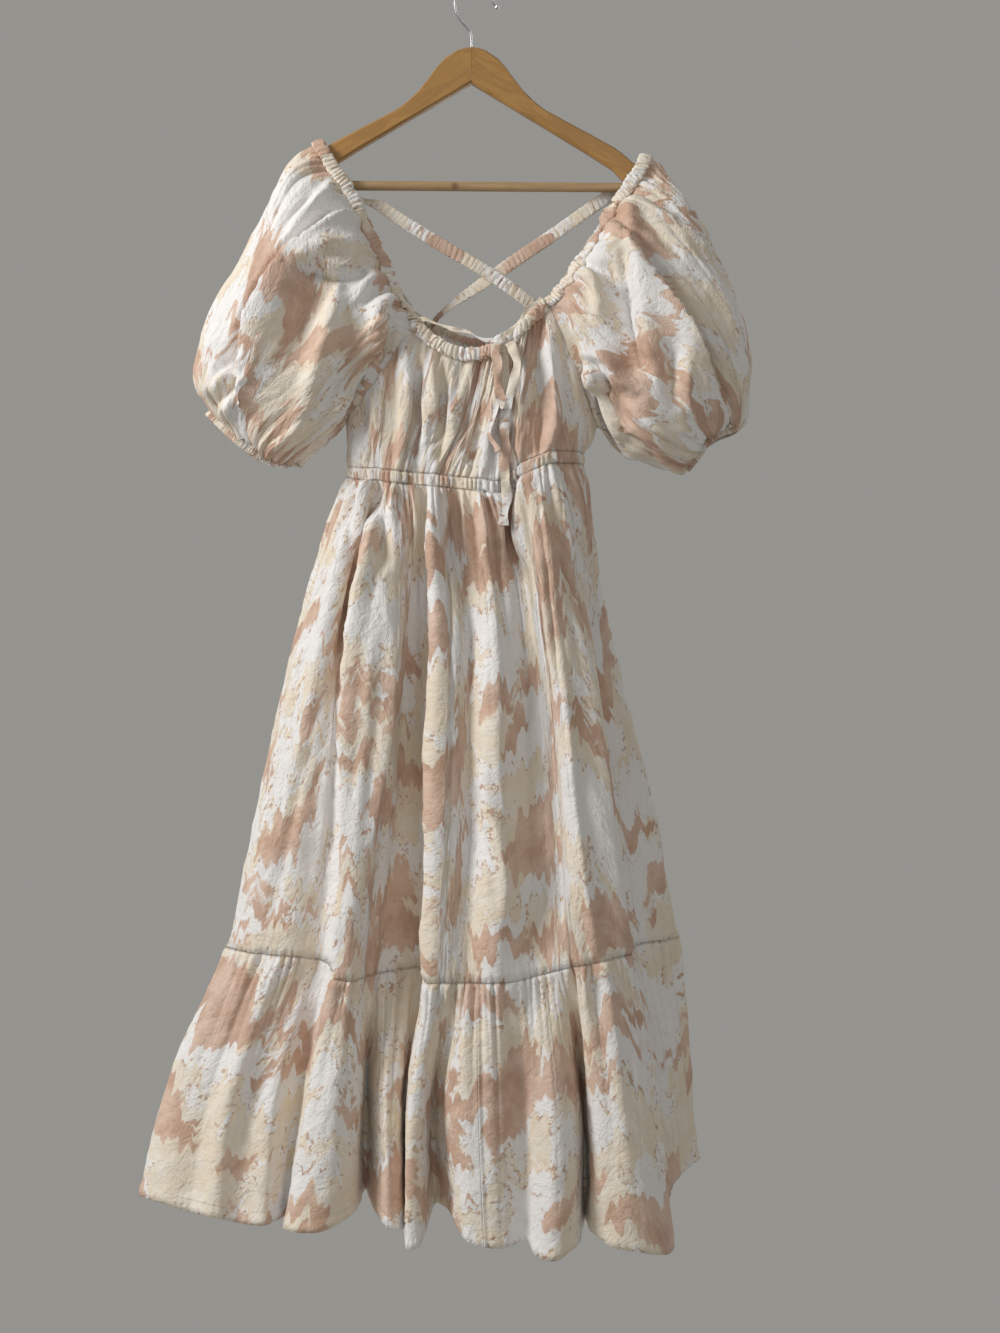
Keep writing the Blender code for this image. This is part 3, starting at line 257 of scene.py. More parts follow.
# Creases, on the front and on the back: a line of four places from start to end, its width to
# the right and to the left of a line that runs down, and its height, below nothing for a trough.
# Columns: x0, z0, x1, z1, x2, z2, x3, z3, right, left, height.
LEFT_SLEEVE_CREASES = {FRONT: [
    # Long ridge and its foot.
    (-145, -268, -196, -314, -240, -389, -249, -455, 30, 5, 13),
    (-249, -455, -260, -472, -272, -481, -286, -491, 12, 5, 6),
    # Pocket's edge.
    (-194, -327, -167, -328, -145, -334, -127, -333, 16, 4, 8),
    # Middle ridge and hollow.
    (-145, -343, -154, -382, -164, -418, -177, -467, 14, 10, 7),
    (-169, -343, -180, -372, -188, -401, -191, -430, 20, 18, -8),
    # Rim of the inner side.
    (-108, -368, -106, -413, -118, -450, -145, -474, 9, 7, 6),
    (-133, -401, -134, -426, -138, -447, -145, -462, 15, 15, -6),
    # Edge by the hanger's arm.
    (-157, -222, -177, -244, -196, -270, -211, -297, 7, 7, -4),
    (-167, -202, -191, -217, -208, -239, -225, -268, 8, 10, 4),
    (-155, -229, -167, -246, -182, -268, -206, -304, 8, 9, 5),
    # Gathers at the neck.
    (-118, -273, -133, -268, -148, -269, -162, -278, 7, 7, 4),
    (-111, -302, -133, -304, -157, -309, -177, -316, 8, 9, 5),
    (-94, -333, -109, -338, -121, -353, -128, -372, 8, 8, 5),
    (-80, -355, -94, -362, -104, -379, -106, -396, 8, 8, 5),
    (-70, -377, -80, -382, -83, -399, -87, -421, 7, 7, 4),
    # Outer side.
    (-300, -433, -291, -457, -269, -447, -252, -433, 6, 8, 5),
    (-266, -406, -263, -421, -260, -433, -258, -442, 9, 9, -5),
    # Ridges above the cuff.
    (-180, -476, -191, -498, -211, -515, -235, -535, 12, 8, 6),
    (-268, -476, -271, -501, -264, -518, -252, -530, 10, 8, 4),
    (-143, -476, -155, -498, -172, -513, -191, -527, 9, 9, 4)
], BACK: [
    (-163, -249, -202, -292, -240, -364, -265, -447, 26, 6, 11),
    (-139, -300, -157, -361, -177, -420, -209, -483, 12, 10, 7),
    (-168, -323, -186, -377, -207, -424, -234, -469, 18, 16, -7),
    (-103, -343, -110, -400, -139, -447, -173, -478, 10, 9, 6),
    (-139, -238, -164, -256, -189, -280, -209, -307, 8, 7, 5),
    (-119, -280, -139, -300, -155, -328, -166, -357, 8, 8, 5),
    (-90, -332, -112, -350, -123, -377, -130, -402, 8, 8, 5)
]}
RIGHT_SLEEVE_CREASES = {FRONT: [
    # Two long ridges and the hollow between.
    (167, -297, 220, -379, 249, -434, 272, -482, 4, 26, 13),
    (167, -308, 170, -338, 177, -395, 186, -431, 20, 4, 9),
    (158, -329, 160, -372, 167, -418, 172, -452, 13, 13, -7),
    # Low middle.
    (220, -425, 221, -447, 224, -468, 240, -489, 10, 7, 8),
    (210, -418, 212, -441, 213, -459, 215, -473, 8, 8, -6),
    # Pocket and its rim.
    (111, -434, 129, -443, 126, -470, 137, -500, 5, 14, 8),
    (137, -500, 153, -521, 178, -530, 194, -543, 5, 10, 6),
    (150, -457, 151, -475, 156, -493, 165, -507, 16, 16, -8),
    (112, -426, 135, -428, 146, -447, 169, -461, 12, 5, 6),
    # Above the cuff.
    (170, -484, 188, -495, 206, -505, 229, -507, 8, 8, 5),
    # Gathers at the neck.
    (135, -285, 149, -281, 165, -297, 176, -320, 7, 7, 5),
    (119, -308, 137, -304, 153, -306, 167, -310, 8, 7, 6),
    (105, -329, 121, -336, 132, -356, 133, -384, 8, 8, 6),
    (117, -324, 133, -327, 144, -332, 151, -338, 6, 6, -4),
    # Ridges by the hanger's arm.
    (158, -253, 166, -262, 170, -276, 172, -294, 8, 6, 5),
    (162, -246, 190, -262, 220, -278, 242, -297, 8, 8, 4),
    (192, -224, 215, -246, 238, -276, 256, -308, 10, 8, 4),
    (178, -258, 190, -278, 206, -297, 226, -315, 8, 7, -3),
    # Outer side.
    (261, -329, 274, -361, 285, -395, 286, -429, 9, 12, 4),
    (249, -425, 260, -445, 270, -459, 278, -470, 12, 12, -7),
    (295, -420, 288, -443, 285, -461, 282, -477, 8, 8, 5)
], BACK: [
    (187, -246, 226, -307, 266, -388, 293, -458, 6, 24, 11),
    (165, -294, 185, -357, 196, -418, 217, -478, 12, 10, 7),
    (196, -332, 217, -382, 232, -429, 253, -467, 16, 16, -7),
    (122, -343, 131, -402, 154, -451, 185, -492, 10, 9, 6),
    (151, -249, 185, -271, 212, -300, 237, -339, 7, 8, 5),
    (129, -294, 149, -316, 160, -343, 167, -373, 8, 8, 5)
]}
BODY_CREASES = {FRONT: [
    # Standing panel on the left.
    (-94, -561, -109, -621, -124, -672, -134, -728, 12, 5, 5),
    (-134, -725, -138, -849, -139, -972, -146, -1084, 14, 4, 6),
    (-110, -725, -115, -824, -124, -948, -132, -1071, 7, 7, 4),
    (-78, -725, -88, -812, -103, -910, -127, -1029, 4, 12, 6),
    # Open edge of the middle.
    (-49, -564, -46, -621, -44, -674, -43, -728, 14, 4, 5),
    (-43, -725, -43, -849, -44, -972, -51, -1084, 20, 3.5, 8),
    # Middle.
    (21, -725, 21, -849, 26, -972, 23, -1084, 14, 14, 7),
    (8, -863, 18, -923, 31, -972, 33, -1022, 5, 5, 3),
    (70, -750, 75, -849, 80, -948, 75, -1046, 22, 22, -7),
    # Right side.
    (92, -750, 100, -849, 110, -948, 132, -1076, 8, 8, 6),
    (120, -725, 132, -824, 142, -923, 167, -1069, 5, 14, 7),
    # Left side.
    (-140, -762, -155, -824, -162, -898, -172, -997, 8, 8, 4),
    (-150, -898, -148, -948, -148, -987, -150, -1022, 9, 7, -4),
    (-130, -578, -154, -685, -177, -813, -207, -962, 12, 10, 5),
    (-158, -728, -175, -824, -196, -920, -220, -1026, 7, 8, -4),
    # Pleats under the waist.
    (-120, -559, -121, -584, -122, -611, -124, -643, 10, 5, 5),
    (-102, -559, -102, -584, -99, -611, -98, -643, 6, 6, -5),
    (-69, -556, -69, -584, -70, -611, -70, -643, 5, 12, 6),
    (-42, -561, -42, -584, -42, -611, -42, -643, 9, 5, 5),
    (-23, -565, -23, -584, -23, -611, -24, -643, 6, 6, -5),
    (4, -563, 8, -586, 10, -611, 11, -643, 10, 5, 5),
    (43, -533, 42, -577, 42, -611, 44, -643, 5, 6, -6),
    (48, -552, 46, -586, 48, -615, 52, -643, 9, 6, 6),
    (68, -550, 72, -577, 76, -607, 81, -643, 8, 8, 6),
    (86, -542, 90, -573, 96, -607, 104, -643, 8, 6, 6),
    (101, -540, 108, -569, 115, -596, 122, -619, 7, 7, 5),
    # Pleats of the bodice.
    (-88, -418, -90, -463, -89, -504, -90, -540, 5, 5, -5),
    (-75, -406, -74, -450, -75, -497, -79, -542, 7, 7, 5),
    (-60, -402, -61, -450, -62, -497, -64, -544, 4, 5, -6),
    (-49, -413, -49, -459, -47, -504, -51, -546, 8, 6, 5),
    (-35, -424, -35, -465, -36, -506, -36, -546, 5, 4, -6),
    (-20, -427, -24, -468, -19, -508, -9, -551, 7, 7, 5),
    (8, -427, 6, -470, 0, -510, -7, -553, 6, 7, -5),
    (53, -401, 53, -450, 49, -497, 49, -540, 5, 7, 6),
    (66, -389, 68, -440, 70, -493, 64, -536, 6, 6, -6),
    (81, -378, 84, -436, 87, -487, 81, -527, 7, 6, 6),
    (94, -404, 98, -446, 98, -485, 94, -523, 5, 5, -5),
    (-120, -470, -118, -497, -113, -521, -109, -540, 6, 6, -6)
], BACK: [
    # Skirt.
    (-136, -549, -165, -681, -202, -862, -242, -1066, 14, 14, 7),
    (-88, -549, -104, -681, -129, -862, -156, -1068, 8, 14, 8),
    (-59, -549, -70, -681, -81, -862, -93, -1071, 18, 16, -7),
    (-27, -549, -31, -681, -40, -862, -52, -1071, 14, 8, 8),
    (18, -547, 18, -681, 23, -862, 28, -1071, 10, 10, 6),
    (52, -545, 59, -681, 71, -862, 82, -1068, 16, 16, -7),
    (80, -540, 96, -681, 118, -862, 145, -1066, 8, 14, 8),
    (102, -536, 132, -681, 168, -862, 198, -1064, 12, 10, 6),
    # Bodice.
    (-81, -400, -86, -445, -88, -488, -90, -526, 6, 6, 5),
    (-52, -388, -54, -440, -54, -488, -54, -529, 5, 6, -5),
    (-11, -397, -16, -445, -13, -488, -16, -531, 7, 6, 6),
    (28, -393, 25, -445, 30, -488, 28, -529, 5, 5, -5),
    (66, -375, 66, -431, 62, -481, 62, -524, 6, 7, 6),
    (96, -397, 98, -443, 96, -481, 91, -517, 5, 5, -5)
]}

# Ribbons. Columns: x, y, z of the path, and x, y, z of the direction across the ribbon.
STRAP_LEFT_UP = [
    (-130, 7.2, -238.6, 0.1, 0.9, 0.4), (-120, 5, -243, 0.2, 0.8, 0.55), (-106, 3, -248, 0.4, 0.4, 0.8),
    (-83, 4, -263, 0.48, 0, 0.88), (-39, 6, -290, 0.52, 0, 0.85), (19, 9, -324, 0.55, 0, 0.83),
    (64, 12.5, -356, 0.58, 0, 0.81), (71, 15.5, -361, 0.6, 0, 0.8),
    (76, 21, -363.5, 0.6, 0, 0.8)]
STRAP_RIGHT_UP = [
    (154, 9.6, -231.5, -0.5, 0, 0.86), (130, 9.5, -248, -0.5, 0, 0.86), (82, 13, -281, -0.52, 0, 0.85),
    (40, 15.5, -309, -0.55, 0, 0.83), (4, 16.5, -334, -0.5, 0.3, 0.8),
    (-24, 17, -353, -0.3, 0.7, 0.6), (-40, 20, -366, -0.2, 0.8, 0.5), (-48, 28.5, -374, -0.2, 0.8, 0.5)]
DRAWSTRING_LEFT = [
    (-60, -36.0, -381, 0.6, -0.1, 0.8), (-47, -37.6, -384.5, 0.35, -0.1, 0.93),
    (-22, -39.6, -392, 0.3, -0.1, 0.95), (2, -41.4, -400.5, 0.25, -0.1, 0.96),
    (12, -42.8, -404.2, 0.2, -0.1, 0.97), (20, -44.4, -405.8, 0.05, -0.1, 1)]
DRAWSTRING_RIGHT = [
    (33.6, -44.2, -401.2, -0.6, -0.1, 0.78), (45, -42, -389, -0.65, -0.1, 0.75),
    (60, -38, -372, -0.65, -0.1, 0.75), (73, -33.2, -359, -0.7, -0.1, 0.7)]
TIE_LOOP = [
    (38, -46.6, -408.3, 1, 0, 0.1), (44, -51, -420, 0.95, -0.2, 0.1), (44, -55.5, -443, 0.95, -0.2, -0.1),
    (39.5, -57, -466, 1, 0, -0.15), (35, -56, -477.5, 1, 0, 0), (32, -52.8, -479.5, 1, 0, 0),
    (30, -50.5, -474, 1, 0, 0.1), (26, -48.8, -452, 0.98, 0.1, 0.1), (23.5, -48.4, -428, 0.97, -0.15, 0),
    (23.5, -47.8, -410.5, 1, 0, 0)]
TIE_END_SHORT = [
    (22.5, -44.6, -412.4, 1, 0, 0), (24, -45.3, -440, 1, 0, 0), (24, -46.1, -466, 1, 0, 0),
    (21, -48, -486, 0.8, -0.6, 0), (17, -50.5, -502, 0.4, -0.9, 0), (20.5, -53, -516, 0.6, -0.8, 0),
    (25.5, -54.5, -526, 1, -0.3, 0)]
TIE_END_LONG = [
    (31, -42.4, -411.6, 1, 0, 0), (32, -43.5, -440, 1, 0, 0), (33, -44.5, -470, 1, 0, 0),
    (33, -46.2, -500, 1, 0, 0), (33, -47.2, -530, 1, 0, 0), (33.5, -47.6, -560, 1, 0, 0),
    (33, -49.5, -585, 1, 0, 0), (31, -53, -604.5, 1, 0, 0.05)]

# Columns: piece, node, path, width, far end, seed of its creases.
CORDS = [
    ("string_left", "neck_drawstring_left", DRAWSTRING_LEFT, 5.0, "knot", 0.4),
    ("string_right", "neck_drawstring_right", DRAWSTRING_RIGHT, 8.0, "object", 2.1),
    ("bow_loop", "tie_loop", TIE_LOOP, 11.0, "object", 3.3),
    ("bow_end_short", "tie_end_short", TIE_END_SHORT, 8.0, "bare", 4.6),
    ("bow_end_long", "tie_end_long", TIE_END_LONG, 12.0, "bare", 5.2)]
KNOT_CENTRE = (27.5, -44.4, -405.5)
KNOT_RADII = (7.0, 4.2, 6.5)

# Dark knot on the front of the hanger's bar.
BAR_KNOT = (-0.022, -0.004, -0.2285)

# Camera: level, looking along +Y at the photo's distance.
CAMERA_PLACE = (0.0275, -1.9, -0.756)
FOCAL_PIXELS = 1727.3
PHOTO_HEIGHT = 1333.0
SENSOR = 36.0

# Lights aimed at the middle of the dress: name, place, width and height, power, colour.
AIM = (0.0, 0.0, -0.75)
LIGHTS = [
    ("window", (-2.2, -1.15, 0.6), (0.8, 1.1), 60, (1.0, 0.99, 0.975)),
    ("fill", (0.6, -2.6, -0.2), (1.6, 1.6), 5, (1.0, 0.98, 0.95)),
    ("rim", (0.8, 1.8, 0.3), (1.6, 1.6), 13, (1.0, 0.98, 0.96))]
ROOM_TONE = (0.50, 0.49, 0.46, 1)
ROOM_STRENGTH = 0.60

# Floor: radius and place, in metres.
FLOOR_RADIUS = 0.8
FLOOR_PLACE = (0.03, 0.1, -1.9)

# Colours of the print and the fittings, and the painted shade of the seam grooves, linear.
WHITE = (0.84, 0.82, 0.81)
CREAM = (0.80, 0.69, 0.54)
PALE_CREAM = (0.83, 0.77, 0.68)
TAN = (0.55, 0.345, 0.245)
PALE_TAN = (0.70, 0.505, 0.395)
SPECKLE = (0.46, 0.26, 0.16)
SEAM_SHADE = (0.30, 0.20, 0.13)
ARM_WOOD = ((0.44, 0.235, 0.068), (0.29, 0.14, 0.038))
BAR_WOOD = ((0.48, 0.32, 0.165), (0.33, 0.20, 0.09))
STEEL = ((0.62, 0.62, 0.63), (0.50, 0.50, 0.51))
FLOOR_TONES = ((0.56, 0.54, 0.50), (0.60, 0.58, 0.54))

# Grain of the wood, per metre along, through and across it, and the slope of the hanger's arms.
ARM_GRAIN = (9, 18, 60)
BAR_GRAIN = (7, 70, 70)
ARM_SLOPE = math.radians(30)

# Print: noise scales of its blots, washes, ragged edges, freckles and fingers, and the fingers' length.
BLOT_SCALE = 12.0
WASH_SCALE = 14.0
EDGE_SCALE = 60.0
FRECKLE_SCALE = 170.0
FINGER_SCALE = 70.0
FINGER_LENGTH = 0.068

# Waves per metre of the weave and of the stitches.
WEAVE_RATE = 2600.0
STITCH_RATE = 2100.0


def columns(names, rows):
    """Return a table's columns as arrays, by name."""
    return {name: np.array([row[1 + i] for row in rows], float) for i, name in enumerate(names)}


def unit(vectors):
    """Return vectors at length one."""
    return vectors / np.maximum(np.linalg.norm(vectors, axis=-1, keepdims=True), 1e-9)


def through(points, places, closed=False):
    """Read a smooth curve through points at places counted in points."""
    points = np.asarray(points, float)
    places = np.asarray(places, float)
    count = len(points)
    if closed:
        points = np.concatenate([points[-1:], points, points[:2]])
        places = places % count
    else:
        points = np.concatenate([2 * points[:1] - points[1:2], points, 2 * points[-1:] - points[-2:-1]])
    last = len(points) - 4
    i = np.clip(np.floor(places).astype(int), 0, last)
    share = (places - i)[:, None]
    p0, p1, p2, p3 = (points[i + k] for k in range(4))
    steps = [np.maximum(np.linalg.norm(b - a, axis=1, keepdims=True), 1e-6) ** 0.5
             for a, b in ((p0, p1), (p1, p2), (p2, p3))]
    t1 = steps[0]
    t2 = t1 + steps[1]
    t3 = t2 + steps[2]
    t = t1 + share * steps[1]
    a1 = (t1 - t) / t1 * p0 + t / t1 * p1
    a2 = (t2 - t) / (t2 - t1) * p1 + (t - t1) / (t2 - t1) * p2
    a3 = (t3 - t) / (t3 - t2) * p2 + (t - t2) / (t3 - t2) * p3
    b1 = (t2 - t) / t2 * a1 + t / t2 * a2
    b2 = (t3 - t) / (t3 - t1) * a2 + (t - t1) / (t3 - t1) * a3
    return (t2 - t) / (t2 - t1) * b1 + (t - t1) / (t2 - t1) * b2


def down(levels, places):
    """Read every column of a stack of level rows at places counted in levels."""
    levels = np.asarray(levels, float)
    return np.stack([through(levels[:, k], places) for k in range(levels.shape[1])], axis=1)


def surface_normals(grid, sign):
    """Return outward normals of a grid whose columns close into a ring."""
    along = np.roll(grid, -1, axis=1) - np.roll(grid, 1, axis=1)
    downward = np.gradient(grid, axis=0)
    return sign * unit(np.cross(downward, along))


def walked(line, closed=False):
    """Return the distance walked along a line, and round it back to the start."""
    steps = np.linalg.norm(np.diff(line, axis=0), axis=1)
    walk = np.concatenate([[0], np.cumsum(steps)])
    round_trip = walk[-1] + (np.linalg.norm(line[-1] - line[0]) if closed else 0)
    return walk, round_trip


def waves(turn, count, seed):
    """Return uneven gathers round a ring: round ridges from 0 to 1 with sharp valleys."""
    phase = count * turn + 0.16 * count * np.sin(3 * turn + seed) / 3
    phase += 0.22 * np.sqrt(count) * np.sin((count // 5) * turn + 2 * seed)
    phase += 0.30 * np.sin((count // 2 - 3) * turn + 3 * seed)
    strength = 0.62 + 0.22 * np.sin((count // 4 + 1) * turn + seed)
    strength += 0.16 * np.sin((count // 7) * turn + 5 * seed)
    return strength * np.abs(np.cos(phase / 2)) ** 0.8


def reach(turn, count, seed, short, long):
    """Return how far each gather runs, between two lengths, uneven round the ring."""
    mix = 0.5 + 0.3 * np.sin((count // 3) * turn + seed) + 0.2 * np.sin((count // 2 + 2) * turn + 4 * seed)
    return short + (long - short) * np.clip(mix, 0, 1) ** 1.6


def gathers(distance, turn, count, seed, height, short, long, pinch=5.0):
    """Lift gathers that are pinched at a seam and fade with the distance from it."""
    fade = np.exp(-(distance / reach(turn, count, seed, short, long)) ** 1.25)
    held = 0.45 + 0.55 * np.clip(distance / pinch, 0, 1)
    return height * fade * held * (waves(turn, count, seed) - 0.45)


def cloth_noise(flat, size, seed):
    """Return smooth noise over flat cloth places."""
    values = [noise.noise(Vector((u, v, seed))) for u, v in flat.reshape(-1, 2) / size]
    return np.array(values).reshape(flat.shape[:-1])


def worn(flat, wear, seed=0):
    """Return how far pressed-in creases and broad dents lift flat cloth places."""
    coarse, fine, broad = ((height, cloth_noise(flat, size, own + seed)) for height, size, own in wear)
    pressed = sum(height * (1 - 3.2 * np.abs(values)) for height, values in (coarse, fine))
    return pressed + broad[0] * broad[1]


def crease_rise(points, normals, creases):
    """Return how far a table's creases lift each point along its normal."""
    rise = np.zeros(points.shape[:-1])
    flat = points[..., [0, 2]]
    rows = [(side, *row) for side in (FRONT, BACK) for row in creases[side]]
    for side, *line, right, left, height in rows:
        path = through(np.reshape(line, (4, 2)), np.linspace(0, 3, 37))
        margin = 3.6 * max(right, left)
        near = np.all((flat > path.min(axis=0) - margin) & (flat < path.max(axis=0) + margin), axis=-1)
        near &= side * normals[..., 1] > 0.02
        offset = flat[near][:, None] - path
        distance = np.linalg.norm(offset, axis=-1)
        nearest = distance.argmin(axis=-1)
        heading = unit(np.gradient(path, axis=0))[nearest]
        away = np.take_along_axis(offset, nearest[:, None, None], axis=1)[:, 0]
        turned = heading[:, 0] * away[:, 1] - heading[:, 1] * away[:, 0]
        width = np.where(turned > 0, right, left)
        taper = np.sin(math.pi * (nearest + 2) / 40) ** 0.6
        facing = np.clip(side * normals[near][:, 1] * 2.5, 0, 1)
        share = distance.min(axis=-1) / width
        tucked = np.where(width <= CRISP_WIDTH, TUCK_SHARE * np.exp(-((share - 2.1) / 0.85) ** 2), 0)
        rise[near] += height * CREASE_GAIN * taper * facing * (np.exp(-share ** 2) - tucked)
    return rise


def spots(table, level):
    """Return the places of one level from a table's columns."""
    return np.stack([table[level + "_" + axis] for axis in "xyz"], axis=1)


def between(places, first, last):
    """Return the columns of the body whose places lie between two lines."""
    return np.where((places >= first - NEAR) & (places <= last + NEAR))[0]


def body_parts():
    """Return the body's smooth parts from neck to hem, and the place of each column on the lines."""
    c = columns(BODY_COLUMNS, BODY)
    c["upper_z"] = np.full(len(BODY), UPPER_SKIRT_LEVEL)
    c["lower_z"] = np.full(len(BODY), LOWER_SKIRT_LEVEL)
    f = columns(FLOUNCE_COLUMNS, FLOUNCE)
    count = len(FLOUNCE)
    steps = np.arange(count * STEPS_PER_LINE) / STEPS_PER_LINE
    places = np.interp(steps, np.arange(count + 1), np.append(f["line"], len(BODY)))
    top, middle, waist, upper, lower, seam = (
        through(spots(c, level), places, True) for level in "top mid waist upper lower seam".split())
    mid, hem = (through(spots(f, level), steps, True) for level in ("middle", "hem"))
    half = np.array([0, 0, WAIST_BAND / 2])
    return {"bodice": down([top, middle, waist + half], np.linspace(0, 2, BODICE_ROWS + 1)),
            "band": np.linspace(waist + half, waist - half, BAND_ROWS + 1),
            "skirt": down([waist - half, upper, lower, seam], 3 * np.linspace(0, 1, SKIRT_ROWS + 1) ** 1.15),
            "flounce": down([seam, mid, hem], 2 * np.linspace(0, 1, FLOUNCE_ROWS + 1) ** 1.1)}, places


def drop(grid):
    """Return the distance of each point from its column's top."""
    steps = np.linalg.norm(np.diff(grid, axis=0), axis=2)
    return np.concatenate([np.zeros((1, grid.shape[1])), np.cumsum(steps, axis=0)])


def ring_turn(line):
    """Return the angle walked round a closed line."""
    walk, whole_round = walked(line, True)
    return 2 * math.pi * walk / whole_round


def dressed_body():
    """Return the body with gathers and creases: points, normals, flat places, stitches, places, rows."""
    parts, places = body_parts()
    order = ["bodice", "band", "skirt", "flounce"]
    rows = dict(zip("neck band_top band_low tier hem".split(),
                    np.cumsum([0] + [len(parts[k]) - 1 for k in order])))
    span = {part: slice(rows[a], rows[b] + 1) for part, a, b in (
        ("bodice", "neck", "band_top"), ("band", "band_top", "band_low"),
        ("skirt", "band_low", "tier"), ("flounce", "tier", "hem"))}
    seams = [rows[k] for k in ("band_top", "band_low", "tier")]
    whole = np.concatenate([parts["bodice"]] + [parts[k][1:] for k in order[1:]])
    normals = surface_normals(whole, 1)
    turn = ring_turn(whole[rows["band_top"]])
    tier_turn = ring_turn(whole[rows["tier"]])
    fall = drop(whole)
    names = [row[0] for row in BODY]
    corners = [names.index(k) for k in ("panel_mid", "raised_right", "back_c", "back_j")]
    inside = np.minimum(places - corners[0], corners[1] - places)
    behind = np.minimum(places - corners[2], corners[3] - places)
    elastic = np.clip(np.maximum(inside, behind) * 2.0 + 0.25, 0, 1)

    # Listed creases, which fade out at the seams and are half as strong on the bodice.
    loose = np.minimum.reduce([np.abs(fall - fall[k]) for k in seams]) / 6.0
    loose[:rows["band_top"]] *= 0.5
    loose[span["band"]] = 0
    most = np.where(np.arange(len(fall)) < rows["band_top"], 0.5, 1.0)[:, None]
    rise = np.minimum(loose, most) * crease_rise(whole, normals, BODY_CREASES)

    for name, seam, *sizes in BODY_GATHERS:
        part = span[name]
        distance = np.abs(fall - fall[rows[seam]])[part]
        around = tier_turn if seam == "tier" else turn
        hold = elastic if seam == "neck" else 1.0
        rise[part] += hold * gathers(distance, around, *sizes)
    band = span["band"]
    middle = np.clip(np.minimum(fall[band] - fall[band.start], fall[band.stop - 1] - fall[band]) / 3.0, 0, 1)
    band_height, pleat_height, count = WAIST_RUCHING
    rise[band] += band_height * middle + middle * pleat_height * (waves(turn, count, 0.9) - 0.45)

    # Wear of the cloth and the raised turn-up of the hem.
    flat = np.stack(np.broadcast_arrays(walked(whole[rows["hem"]])[0] * 0.9, fall), axis=-1)
    quiet = np.ones(len(whole))
    quiet[band] = 0.2
    rise += quiet[:, None] * worn(flat, BODY_WEAR)
    from_hem = fall[rows["hem"]] - fall
    turned_up = np.clip((HEM_TURN_UP + 1 - from_hem) / 2, 0, 1)
    rise += 0.9 * turned_up * (0.5 + 1.5 * waves(tier_turn, 150, 0.3))
    grid = whole + normals * rise[..., None]
    stitch = np.min([np.abs(fall - fall[k]) for k in seams] + [np.abs(from_hem - HEM_TURN_UP)], axis=0)
    return grid, surface_normals(grid, 1), flat, stitch, places, rows


